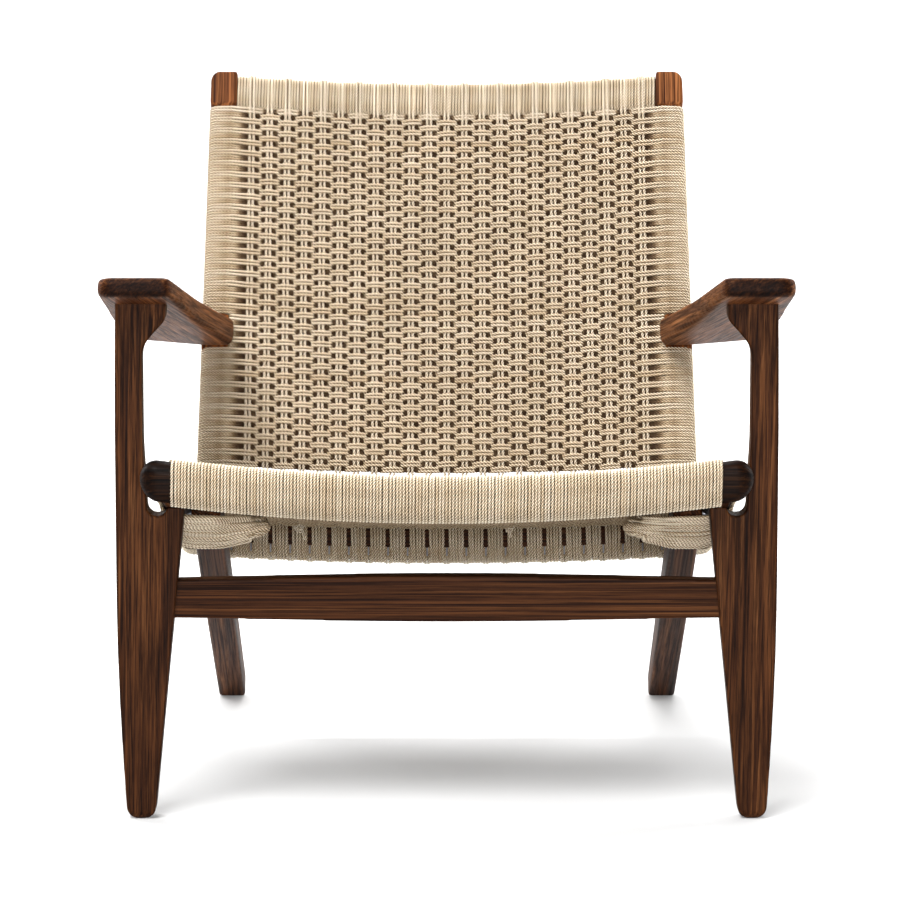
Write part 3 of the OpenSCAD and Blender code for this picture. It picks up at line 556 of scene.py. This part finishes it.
    warp = Cords("back_warp_cord")
    r_out_h, r_out_t = BACK_RAIL_H, BACK_RAIL_T
    for i in range(WARPS):
        x = (i - (WARPS - 1) / 2) * BACK_WARP_PITCH
        over = i % 2 == 0
        for k in (-1, 1):
            xx = x + k * 2.15 * MM
            us = np.arange(weave_u0 - 3 * MM, weave_u1 + 3 * MM, 2 * MM)
            b = bow(xx, back_half)
            row_s = np.cos(math.pi * ((us - weave_u0 + 2.5 * MM) / WEFT_PITCH - 0.5 + i))
            v = 2.9 * MM + b + 0.9 * MM * row_s
            path = np.stack([np.full_like(us, xx), v, us], 1)
            hw, hh = r_out_t / 2 - 8 * MM, r_out_h / 2 - 8 * MM
            lift = CORD_R + (CORD_D * 0.42 if over else -0.2 * MM)
            rr = 8 * MM + lift
            top = []
            for cx, cy, a0 in ((-hw, -hh, 180), (hw, -hh, 270), (hw, hh, 0)):
                for q in np.linspace(0, 90, 7):
                    a = math.radians(a0 + q)
                    top.append((cx + rr * math.cos(a), cy + rr * math.sin(a)))
            top = np.array(top)
            start = np.array([[top[0, 0], hh]])
            top = np.vstack([start, top])
            loop = np.stack([np.full(len(top), xx), BACK_V + b + top[:, 0], top_u + top[:, 1]], 1)
            if over:
                join = np.array([[xx, 3.3 * MM + b - 3.2 * MM, weave_u0 + 3 * MM]])
                body = path[us > weave_u0 + 8 * MM]
                path = np.vstack([loop[::-1], join, body])
            else:
                path = np.vstack([loop[::-1], path])
            low = []
            for cx, cy, a0 in ((-hw, hh, 180), (hw, hh, 90), (hw, -hh, 0)):
                for q in np.linspace(0, 90, 7):
                    a = math.radians(a0 - q)
                    low.append((cx + rr * math.cos(a), cy + rr * math.sin(a)))
            low = np.array(low)
            low = np.vstack([[[low[0, 0], -hh]], low])
            loop2 = np.stack([np.full(len(low), xx), BACK_V + b + low[:, 0], bottom_u + low[:, 1]], 1)
            path = np.vstack([path, loop2])
            ones = np.ones(len(path))
            # painted shade on the back warps' flanks (flank 0.25); their front and rear stay fully open
            warp.add(back_point(path[:, 0], path[:, 1], path[:, 2]), (1, 0, 0), CORD_R * 1.02, tone=0.9,
                     opening=(ones, ones), front=-back_v, flank=0.25)
    warp.make(cord_material)


def helix(cords, half_a, half_b, pitch, point, section, tone_step=None):
    """A cord wound round a bar from half_a to half_b: point(x, p, q) gives the row frame point of section point (p, q)."""
    w, h, r = section
    n_turns = int((half_b - half_a) / pitch)
    sec, total = loop_section(w, h, r, CORD_R, 0.0, 1.0)
    for k in range(n_turns):
        x0 = half_a + pitch * (k + 0.5)
        t = np.linspace(0, 1, len(sec))
        x = x0 + pitch * (t - 0.5) * 0.9 + rng.normal(0, 0.12 * MM)
        line = point(x, sec[:, 0], sec[:, 1])
        # painted shade on the wraps' flanks (flank 0.3)
        cords.add(line, (1, 0, 0), CORD_R * 1.02, front=line - point(x, 0 * x, 0 * x), flank=0.3)


def make_back_rails():
    for name, u, node in (("top_rail_cord", top_u, "top_rail_wrap"), ("bottom_rail_cord", bottom_u, "bottom_rail_wrap")):
        half = float(stile_out_at(u) - STILE_W) - 0.6 * MM
        cords = Cords(name)
        helix(cords, -half, half, 3.36 * MM,
              lambda x, p, q: back_point(x, BACK_V + bow(x, back_half) + p, u + q),
              (BACK_RAIL_T, BACK_RAIL_H, 8 * MM))
        cords.make(cord_material, node)


# ---- the woven seat ----
front_low, front_high = corners("seat_front_rail")
front_y = (front_low[1] + front_high[1]) / 2
front_z = front_high[2] - FRONT_RAIL_H / 2
front_half = front_high[0]
rear_low, rear_high = corners("rear_rail_wrap")
rear_a = RAIL_END - 22 * MM
front_a, front_h = in_seat((0, front_y, front_z))
SEAT_TOP = SIDE_RAIL_H / 2 + CORD_D
nail_low, nail_high = corners("seat_nails")
NAIL_H = in_seat((nail_low + nail_high) / 2)[1] + REAR_SAG / 2


def seat_surface(x, a):
    """Height of the weave's middle above the side rails' centre line."""
    t = np.clip((a - front_a) / (rear_a - front_a), 0, 1)
    half = RAIL_IN + 12 * MM
    d = 1 - np.clip(np.abs(x) / half, 0, 1) ** 2
    front_top = front_h + FRONT_RAIL_H / 2 * 0.93 + CORD_D * 0.5
    lead = (front_top - SEAT_TOP + CORD_R) * np.exp(-np.maximum(a - front_a, 0) / (45 * MM))
    return SEAT_TOP - CORD_R + lead - d * ((1 - t) * (FRONT_SAG + 0 * MM) + t * REAR_SAG)


leg_node = np.array([v.co[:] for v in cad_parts["rear_leg_right"].data.vertices])
leg_head = leg_node[leg_node[:, 1] < leg_node[:, 1].min() + 1 * MM]
foot_low = corners("rear_leg_right")[0]
LEG_IN = foot_low[0]
foot_mid = np.array([0, corners("rear_leg_right")[1][1] - 14.5 * MM, 13.7 * MM])
head_mid = np.array([0, leg_node[:, 1].min(), 0.335])


def leg_center_h(a):
    """Height of the rear leg's centre line in the seat frame at a."""
    a0, h0 = in_seat(head_mid)
    a1, h1 = in_seat(foot_mid)
    return h0 + (a - a0) * (h1 - h0) / (a1 - a0)


BUNDLE = (38 * MM, 136 * MM)
tongue = (stile_verts - seat_origin) @ seat_a
tongue_h = (stile_verts - seat_origin) @ seat_h
cross = tongue[np.abs(tongue_h - 10 * MM) < 60 * MM]


def tongue_range(h):
    """Where the stile passes height h of the seat frame, as (start, end) along the seat."""
    f0 = in_seat(back_origin)
    out = []
    for v in (0.0, STILE_T):
        p = back_origin + back_v * v
        a, hh = in_seat(p)
        da, dh = back_u @ seat_a, back_u @ seat_h
        out.append(a + (h - hh) / dh * da)
    return min(out), max(out)


def seat_open(both):
    """Painted shade: the underside of the seat gets less light than its top, so the rear openness is cut to 0.6."""
    return both[0], both[1] * 0.6


def make_seat():
    weft = Cords("seat_weft_cord")
    start = front_a + FRONT_RAIL_T / 2 + CORD_D + 1 * MM
    end = rear_a - REAR_RAIL_T / 2 - CORD_D
    rows = int((end - start) / WEFT_PITCH)
    t0, t1 = tongue_range(SEAT_TOP)
    rail_mid = (RAIL_IN + RAIL_OUT) / 2
    last_warp = (WARPS - 1) / 2 * SEAT_WARP_PITCH
    for row in range(rows + 1):
        a_mid = start + WEFT_PITCH * (row + 0.3)
        at_stile = t0 - 3 * MM < a_mid < t1 + 3 * MM
        at_prong = a_mid < BUNDLE[0]
        at_bundle = BUNDLE[0] <= a_mid <= BUNDLE[1]
        beside_leg = BUNDLE[1] < a_mid < 215 * MM
        reach = (stile_in_base - 2.5 * MM) if at_stile else (RAIL_IN + 6 * MM)
        for k in (-1, 1):
            xs = np.arange(-reach, reach + 1e-6, 1.2 * MM)
            s = undulate(np.clip(xs, -last_warp, last_warp), row, SEAT_WARP_PITCH)
            edge = np.clip((RAIL_IN - np.abs(xs)) / (RAIL_IN - last_warp), 0, 1)
            edge = edge * edge * (3 - 2 * edge)
            wob = np.interp(xs, np.linspace(-reach, reach, 20), rng.normal(0, 0.16, 20)) * MM
            h = seat_surface(xs, a_mid) - 1.3 * MM * edge + 2.35 * MM * s * edge
            spread = (1.62 + 0.2 * np.clip(s, 0, 1) * edge) * MM
            a = a_mid + k * spread + wob
            panel = np.stack([xs, a, h], 1)
            ends, ways = [], []
            for side in (1, -1):
                hw, hh, rr = SIDE_RAIL_W / 2 - 10 * MM, SIDE_RAIL_H / 2 - 10 * MM, 10 * MM + CORD_R
                if at_stile:
                    t = np.linspace(0.1, 1, 10)
                    loop = np.stack([side * (reach + 0 * t), np.full_like(t, a_mid + k * 1.6 * MM),
                                     panel[-1, 2] - 20 * MM * t], 1)
                    way = np.tile(seat_h, (len(t), 1))
                else:
                    pts = [(-hw, hh + rr)]
                    arcs = [(hw, hh, 90), (hw, -hh, 0)]
                    if not (at_prong or at_bundle or beside_leg):
                        arcs.append((-hw, -hh, -90))
                    for cx, cy, a0 in arcs:
                        for q in np.linspace(0, 90, 8):
                            b = math.radians(a0 - q)
                            pts.append((cx + rr * math.cos(b), cy + rr * math.sin(b)))
                    if not (at_prong or at_bundle or beside_leg):
                        pts.append((-hw - rr, hh - 2 * MM))
                    elif beside_leg:
                        pts.append((-hw - 8 * MM, -hh - rr))
                    pts = np.array(pts)
                    if at_prong:
                        pts = pts[: 2 + 8 + 3]
                    ax = np.full(len(pts), a_mid + k * 1.675 * MM)
                    if at_bundle:
                        # on under the rear leg, then inwards to the gathering point below the weave
                        f = (a_mid - BUNDLE[0] + k * WEFT_PITCH / 4) / (BUNDLE[1] - BUNDLE[0])
                        low = leg_center_h(a_mid) - REAR_LEG_T / 2 - CORD_R - 0.4 * MM
                        low += rng.normal(0, 0.45 * MM)
                        layer = ((2 * row + (k > 0)) % 3 - 1) * 2.4 * MM
                        tip_a = BUNDLE[0] + 66 * MM
                        tip_x = LEG_IN - 48 * MM + 15 * MM * (2 * f - 1) ** 2
                        top_h = float(seat_surface(tip_x, tip_a))
                        tip_h = top_h - 41 * MM + (0.5 - f) * 21 * MM + rng.normal(0, 0.7 * MM)
                        body = [(RAIL_OUT + CORD_R - 1 * MM, a_mid + k * 1.6 * MM, min(-SIDE_RAIL_H / 2 + 4 * MM, low + 14 * MM)),
                                (RAIL_OUT - 6 * MM, a_mid + k * 1.6 * MM, min(-SIDE_RAIL_H / 2 - 3 * MM, low + 6 * MM)),
                                (RAIL_IN + 2 * MM, a_mid + k * 1.6 * MM, low + 0.6 * MM),
                                (LEG_IN + 14 * MM, a_mid + k * 1.6 * MM, low),
                                (LEG_IN + 1 * MM, a_mid * 0.9 + tip_a * 0.1 + k * 1.5 * MM, low + 0.5 * MM + layer * 0.2),
                                (LEG_IN - 14 * MM, a_mid * 0.62 + tip_a * 0.38 + layer * 0.4, low * 0.66 + tip_h * 0.34),
                                (LEG_IN - 28 * MM, a_mid * 0.36 + tip_a * 0.64 + layer * 0.8, low * 0.33 + tip_h * 0.67),
                                (tip_x + 8 * MM, tip_a + layer, tip_h + 0.3 * MM),
                                (tip_x + 1 * MM, tip_a + 4 * MM + layer, tip_h + 1.2 * MM),
                                (tip_x + 1 * MM, tip_a + 11 * MM + layer, tip_h + 5 * MM),
                                (tip_x + 10 * MM, tip_a + 15 * MM + layer, (tip_h + top_h) / 2),
                                (tip_x + 16 * MM, tip_a + 15 * MM + layer, top_h - 6 * MM)]
                        body = [(side * x, y, z) for x, y, z in body]
                        body = smooth_path(np.array(body), 12)
                        cut = [(-hw, hh + rr)]
                        for q in np.linspace(0, 90, 8):
                            b = math.radians(90 - q)
                            cut.append((hw + rr * math.cos(b), hh + rr * math.sin(b)))
                        cut = np.array(cut)
                        first = np.stack([side * (rail_mid + cut[:, 0]), np.full(len(cut), a_mid + k * 1.675 * MM), cut[:, 1]], 1)
                        loop = np.vstack([first, body])
                        way = np.vstack([np.tile(seat_h, (len(first), 1)), np.tile(-seat_h - 0.6 * seat_a, (len(body), 1))])
                    else:
                        loop = np.stack([side * (rail_mid + pts[:, 0]), ax, pts[:, 1]], 1)
                        way = pts[:, 1:] * seat_h
                        way[:, 0] = side * pts[:, 0]
                ends.append(loop)
                ways.append(way)
            path = np.vstack([ends[1][::-1], panel, ends[0]])
            # painted shade: the seat wefts darken where they sink, on their flanks (0.36) and more on the underside
            weft.add(seat_point(path[:, 0], path[:, 1], path[:, 2]), seat_a, CORD_R * 1.06,
                     opening=seat_open(openings(s * edge, (np.ones(len(ends[1])), np.ones(len(ends[0]))))),
                     front=np.vstack([ways[1][::-1], np.tile(seat_h, (len(xs), 1)), ways[0]]), flank=0.36, wide=1.12)
    weft.make(cord_material, "seat_weave", "side_rail_wrap_left", "side_rail_wrap_right",
              "cord_bundle_left", "cord_bundle_right")
    # painted shade: dark sheets inside the seat weave
    painted_shade_sheets("seat_weave_shade", start + 1 * MM, end - 2 * MM,
          lambda a: (stile_in_base - 4 * MM) if a > t0 - 4 * MM else RAIL_IN - 1 * MM,
          lambda x, h, a: seat_point(x, a, h), lambda x, a: seat_surface(x, a) - 1.3 * MM)

    warp = Cords("seat_warp_cord")
    for i in range(WARPS):
        x = (i - (WARPS - 1) / 2) * SEAT_WARP_PITCH
        for k in (-1, 1):
            xx = x + k * 2.15 * MM
            a = np.arange(front_a + 6 * MM, rear_a - 4 * MM, 2 * MM)
            row_s = np.cos(math.pi * ((a - start) / WEFT_PITCH - 0.3 + i))
            h = seat_surface(xx, a) - 1.4 * MM - 0.4 * MM * row_s
            drop = REAR_SAG * (1 - (xx / RAIL_IN) ** 2)
            hw, hh, rr = REAR_RAIL_T / 2 - 8 * MM, REAR_RAIL_H / 2 - 8 * MM, 8 * MM + CORD_R
            pts = [(0, hh + rr)]
            for cx, cy, a0 in ((hw, hh, 90), (hw, -hh, 0), (-hw, -hh, -90)):
                for q in np.linspace(0, 90, 7):
                    b = math.radians(a0 - q)
                    pts.append((cx + rr * math.cos(b), cy + rr * math.sin(b)))
            pts += [(-hw - rr, -hh), (-hw - rr, NAIL_H - 6 * MM), (-hw - rr - 0.4 * MM, NAIL_H),
                    (-hw - rr - 0.8 * MM, NAIL_H + 3 * MM), (-hw - rr - 0.6 * MM, NAIL_H + 5.5 * MM)]
            pts = np.array(pts)
            off = np.r_[np.full(len(pts) - 4, 1.75), 1.9, 2.75, 2.0, 0.9] * MM
            pts *= 1 + 1.1 * MM / np.hypot(pts[:, 0], pts[:, 1])[:, None]
            loop = np.stack([x + k * off, rear_a + pts[:, 0], pts[:, 1] - drop], 1)
            body = np.stack([np.full_like(a, xx), a, h], 1)
            path = np.vstack([body, smooth_path(loop, 4)])
            ones = np.ones(len(path))
            # painted shade on the seat warps' flanks (flank 0.45)
            warp.add(seat_point(path[:, 0], path[:, 1], path[:, 2]), (1, 0, 0), CORD_R * 0.97, tone=0.8,
                     opening=(ones, ones), front=seat_h, flank=0.45)
    warp.make(cord_material)

    cords = Cords("front_rail_cord")
    half = front_half - 31.5 * MM
    helix(cords, -half, half, 3.38 * MM,
          lambda x, p, q: np.stack([x, front_y + q, front_z - FRONT_SAG * (1 - (x / front_half) ** 2) + p], 1),
          (FRONT_RAIL_H, FRONT_RAIL_T, 12 * MM))
    cords.make(cord_material, "front_rail_wrap")

    cords = Cords("rear_rail_cord")
    sec, _ = loop_section(REAR_RAIL_T, REAR_RAIL_H, 8 * MM, CORD_R, 0.0, 1.0)
    for i in range(-1, WARPS):
        x0 = (i - (WARPS - 1) / 2) * SEAT_WARP_PITCH
        for j in range(5):
            off = (4.0 + 3.5 * j) * MM
            x = x0 + off
            if abs(x) > RAIL_IN - CORD_D:
                continue
            drop = REAR_SAG * (1 - (x / RAIL_IN) ** 2)
            at_nail = np.exp(-((sec[:, 1] - NAIL_H) / (6 * MM)) ** 2) * (sec[:, 0] < 0)
            lean = (1.0, 0.4, 0.0, -0.4, -1.0)[j] * MM
            t = np.linspace(-0.5, 0.5, len(sec)) * 1.6 * MM + lean * at_nail + rng.normal(0, 0.15 * MM)
            line = seat_point(x + t, rear_a + sec[:, 0], sec[:, 1] - drop)
            # painted shade on the rear rail wraps' flanks (flank 0.3)
            cords.add(line, (1, 0, 0), CORD_R * 1.02, front=line - seat_point(x + t, rear_a, -drop), flank=0.3)
    # two knots where one length of cord ends and the next begins
    for x, phase in ((-166 * MM, 0.4), (70 * MM, 2.0)):
        t = np.linspace(0, 2 * math.pi, 60) + phase
        knot = np.stack([np.sin(t) + 2 * np.sin(2 * t), -np.sin(3 * t), np.cos(t) - 2 * np.cos(2 * t)], 1) * 2.1 * MM
        ends = np.array([knot[-1] + np.array([0.001, -0.002, -0.006]), knot[-1] + np.array([0.003, -0.003, -0.014])])
        p = np.vstack([knot, ends])
        cords.add(seat_point(x + p[:, 0], rear_a - REAR_RAIL_T / 2 - CORD_D - 3.5 * MM + p[:, 1], 9 * MM + p[:, 2]), (0.3, 0.9, 0.2))
    cords.make(cord_material, "rear_rail_wrap")


def smooth_path(points, per):
    """A Catmull-Rom curve through the points."""
    p = np.vstack([2 * points[0] - points[1], points, 2 * points[-1] - points[-2]])
    out = []
    t = np.linspace(0, 1, per, endpoint=False)[:, None]
    for i in range(1, len(p) - 2):
        a, b, c, d = p[i - 1], p[i], p[i + 1], p[i + 2]
        out.append(0.5 * (2 * b + (c - a) * t + (2 * a - 5 * b + 4 * c - d) * t ** 2 + (3 * b - a - 3 * c + d) * t ** 3))
    return np.vstack(out + [points[-1:]])


stile_in_base = RAIL_IN + 13 * MM - STILE_W
make_back()
make_back_rails()
make_seat()


# ---- wood ----
def wood(node, material, voxel=1.6, rounds=14, push=(), bevel=0.0, shape=None, grow=0.0):
    """A sanded copy of a CAD node: its ends may be pushed on into their neighbours, so that joints stay tight."""
    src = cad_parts[node]
    me = src.data.copy()
    me.name = node + "_sanded"
    ob = bpy.data.objects.new(node + "_sanded", me)
    bpy.context.scene.collection.objects.link(ob)
    co = np.empty(len(me.vertices) * 3, np.float32)
    me.vertices.foreach_get("co", co)
    co = co.reshape(-1, 3)
    for pick, move in push:
        sel = pick(co)
        co[sel] += np.array(move, np.float32) * MM
    me.vertices.foreach_set("co", co.ravel())
    me.update()
    weld = ob.modifiers.new("weld", "WELD")
    weld.merge_threshold = 1e-5
    if bevel:
        b = ob.modifiers.new("bevel", "BEVEL")
        b.width, b.segments, b.limit_method, b.angle_limit = bevel * MM, 4, "ANGLE", math.radians(40)
    r = ob.modifiers.new("remesh", "REMESH")
    r.mode, r.voxel_size, r.adaptivity = "VOXEL", voxel * MM, 0
    s = ob.modifiers.new("smooth", "SMOOTH")
    s.factor, s.iterations = 0.5, rounds
    dg = bpy.context.evaluated_depsgraph_get()
    done = bpy.data.meshes.new_from_object(ob.evaluated_get(dg), depsgraph=dg)
    bpy.data.objects.remove(ob)
    done.name = node + "_sanded"
    co = np.empty(len(done.vertices) * 3, np.float32)
    done.vertices.foreach_get("co", co)
    co = co.reshape(-1, 3)
    if grow:
        nor = np.empty(len(done.vertices) * 3, np.float32)
        done.vertices.foreach_get("normal", nor)
        co = co + nor.reshape(-1, 3) * grow * MM
        done.vertices.foreach_set("co", co.ravel())
    if shape:
        co = shape(co)
        done.vertices.foreach_set("co", co.astype(np.float32).ravel())
    done.polygons.foreach_set("use_smooth", np.ones(len(done.polygons), bool))
    done.materials.clear()
    done.materials.append(material)
    done.update()
    out = bpy.data.objects.new(node + "_sanded", done)
    bpy.context.scene.collection.objects.link(out)
    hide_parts(node)
    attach(out, "root")
    return out


# Copies of one walnut, lightened or darkened by the factor shade: the back stiles (3.2) and the arms (2.8) are lit
# copies, painted light; the rear legs' copy is 1.2 times and the front rail's 0.22 times the base colour.
upright = walnut("walnut_upright", (0.0, 0.02, 1))
across = walnut("walnut_across", (1, 0.0, 0.0))
arm_woods = {side: walnut("walnut_arm_" + side, tuple(arm_dir - np.array([s * 0.112, 0, 0])), 2.8, end=arm_low[1] + 2 * MM)
             for side, s in (("left", -1), ("right", 1))}
back_wood = walnut("walnut_back", tuple(-back_u), 3.2)
leg_axis = head_mid - foot_mid
leg_wood = walnut("walnut_rear_leg", tuple(leg_axis / np.linalg.norm(leg_axis)), 1.2)
dark_across = walnut("walnut_front_rail", (1, 0, 0), 0.22, 0.3)
seat_wood = walnut("walnut_seat_rail", tuple(seat_a))



def round_stile_top(co):
    """Round the outer top corner of a stile."""
    u = (co - back_origin) @ back_u
    out = stile_out_at(u)
    r = 14 * MM
    dx, du = np.abs(co[:, 0]) - (out - r), r - u
    far = (dx > 0) & (du > 0)
    d = np.hypot(dx, du)
    over = far & (d > r)
    new = co.copy()
    new[over, 0] = np.sign(co[over, 0]) * (out[over] - r + dx[over] * r / d[over])
    new[over] += np.outer(du[over] - du[over] * r / d[over], back_u)
    return new


def front_rail():
    """The seat's front rail: a sagging bar with domed ends."""
    half, dome = front_half, 19 * MM
    ns, m = 220, 44
    xs = np.r_[half - dome * (1 - np.cos(np.linspace(0, math.pi / 2, 14))), ]
    xs = np.r_[-xs[::1], np.linspace(-(half - dome), half - dome, ns)[1:-1], xs[::-1]]
    d = half - np.abs(xs)
    scale = np.where(d < dome, np.sqrt(np.clip(1 - (1 - d / dome) ** 2, 0, 1)), 1.0)
    hw, hh, r = FRONT_RAIL_T / 2 - 12 * MM, FRONT_RAIL_H / 2 - 12 * MM, 12 * MM
    ring = []
    for k, (cx, cy) in enumerate(((hw, hh), (-hw, hh), (-hw, -hh), (hw, -hh))):
        for q in np.linspace(0, 90, m // 4):
            b = math.radians(90 * k + q)
            ring.append((cx + r * math.cos(b), cy + r * math.sin(b)))
    ring = np.array(ring)
    m = len(ring)
    z = front_z - FRONT_SAG * (1 - (xs / front_half) ** 2)
    v = np.stack([np.repeat(xs, m), (front_y + np.outer(scale, ring[:, 0])).ravel(),
                  (z[:, None] + np.outer(scale, ring[:, 1])).ravel()], 1)
    faces = []
    for i in range(len(xs) - 1):
        for j in range(m):
            j2 = (j + 1) % m
            faces.append((i * m + j, (i + 1) * m + j, (i + 1) * m + j2, i * m + j2))
    me = bpy.data.meshes.new("seat_front_rail_turned")
    me.from_pydata(v.tolist(), [], faces)
    me.polygons.foreach_set("use_smooth", [True] * len(faces))
    me.materials.append(dark_across)
    me.update()
    out = bpy.data.objects.new("seat_front_rail_turned", me)
    bpy.context.scene.collection.objects.link(out)
    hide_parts("seat_front_rail")
    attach(out, "root")


for side, s in (("left", -1), ("right", 1)):
    wood("front_leg_" + side, upright, push=[(lambda c: c[:, 2] > leg_high[2] - 12 * MM, (0, -1, 8))])
    wood("rear_leg_" + side, leg_wood, rounds=40)
    wood("armrest_" + side, arm_woods[side], voxel=1.8, rounds=70, grow=0.8)
    wood("back_stile_" + side, back_wood, shape=round_stile_top)
wood("front_stretcher", across, push=[(lambda c: c[:, 0] > 0.262, (6, 0, 0)), (lambda c: c[:, 0] < -0.262, (-6, 0, 0))])
front_rail()


def dress(node, material):
    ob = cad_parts[node]
    for sl in ob.material_slots:
        sl.link = "OBJECT"
        sl.material = material


for node in ("seat_rear_rail", "rear_stretcher", "back_top_rail", "back_bottom_rail"):
    dress(node, across)
for side in ("left", "right"):
    dress("seat_side_rail_" + side, seat_wood)

steel, nt, bsdf = new_material("zinc_nail")
bsdf.inputs["Metallic"].default_value = 1.0
n = add(nt, "ShaderNodeTexNoise", Scale=300.0, Detail=3.0)
nt.links.new(ramp(nt, n.outputs["Fac"], [(0.3, (0.16, 0.16, 0.175)), (0.7, (0.30, 0.30, 0.32))]), bsdf.inputs["Base Color"])
nt.links.new(ramp(nt, n.outputs["Fac"], [(0.3, (0.45, 0.45, 0.45)), (0.7, (0.25, 0.25, 0.25))]), bsdf.inputs["Roughness"])
pale, nt2, bsdf2 = new_material("beech_dowel")
n = add(nt2, "ShaderNodeTexNoise", Scale=120.0, Detail=4.0)
nt2.links.new(ramp(nt2, n.outputs["Fac"], [(0.3, (0.42, 0.28, 0.16)), (0.7, (0.58, 0.42, 0.26))]), bsdf2.inputs["Base Color"])
for name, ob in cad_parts.items():
    if "bolt" in name or name == "seat_nails":
        dress(name, steel)
    elif "dowel" in name:
        dress(name, pale)

# ---- floor, light and camera ----
bpy.ops.mesh.primitive_plane_add(size=1)
floor = bpy.context.object
floor.name = "floor"
me = floor.data
me.clear_geometry()
prof = [(-6.0, 0.0)] + [(3.2 + 1.8 * math.sin(a), 1.8 - 1.8 * math.cos(a)) for a in np.linspace(0, math.pi / 2, 24)] + [(5.0, 7.0)]
vs, fs = [], []
for y, z in prof:
    vs += [(-9, y, z), (9, y, z)]
for i in range(len(prof) - 1):
    fs.append((2 * i, 2 * i + 1, 2 * i + 3, 2 * i + 2))
me.from_pydata(vs, [], fs)
me.polygons.foreach_set("use_smooth", [True] * len(fs))
fm, nt3, b3 = new_material("floor_white")
b3.inputs["Base Color"].default_value = (0.50, 0.50, 0.50, 1)
b3.inputs["Roughness"].default_value = 0.7
b3.inputs["Specular IOR Level"].default_value = 0.1
b3.inputs["Emission Color"].default_value = (1, 1, 1, 1)
b3.inputs["Emission Strength"].default_value = 0.12
me.materials.clear()
me.materials.append(fm)

world = bpy.data.worlds.new("studio")
bpy.context.scene.world = world
world.use_nodes = True
world.node_tree.nodes["Background"].inputs["Color"].default_value = (1, 1, 1, 1)
world.node_tree.nodes["Background"].inputs["Strength"].default_value = 0.33


def area(name, place, target, size, power, colour=(1, 1, 1)):
    d = bpy.data.lights.new(name, "AREA")
    d.energy, d.color = power, colour
    d.shape, d.size, d.size_y = "RECTANGLE", size[0], size[1]
    o = bpy.data.objects.new(name, d)
    o.location = place
    o.rotation_euler = (Vector(target) - Vector(place)).to_track_quat("-Z", "Y").to_euler()
    bpy.context.scene.collection.objects.link(o)
    return o


area("key", (-1.3, -2.7, 4.1), (0, 0, 0.5), (2.4, 2.0), 350)
area("low_front", (0.2, -4.8, 1.15), (0, 0, 0.35), (1.5, 0.7), 175)
area("rim_left", (-2.6, 1.2, 1.5), (0, 0, 0.4), (0.8, 1.8), 60)
area("rim_right", (2.6, 1.0, 1.3), (0, 0, 0.4), (0.8, 1.8), 45)
area("top_back", (0, 2.2, 3.0), (0, 0.1, 0.5), (2.4, 1.2), 110)
area("backdrop", (0, 1.4, 3.4), (0, 4.6, 1.2), (5, 0.6), 420)

cam_data = bpy.data.cameras.new("camera")
cam = bpy.data.objects.new("camera", cam_data)
bpy.context.scene.collection.objects.link(cam)
bpy.context.scene.camera = cam
cam_data.sensor_width = 36
cam_data.lens = 4822.5 / 900 * 36
cam.location = (0, -5.1926, 1.1835)
cam.rotation_euler = (math.radians(90 - 9.200), 0, math.radians(-0.039))
cam_data.clip_start, cam_data.clip_end = 0.1, 60
bpy.context.scene.view_settings.view_transform = "Standard"
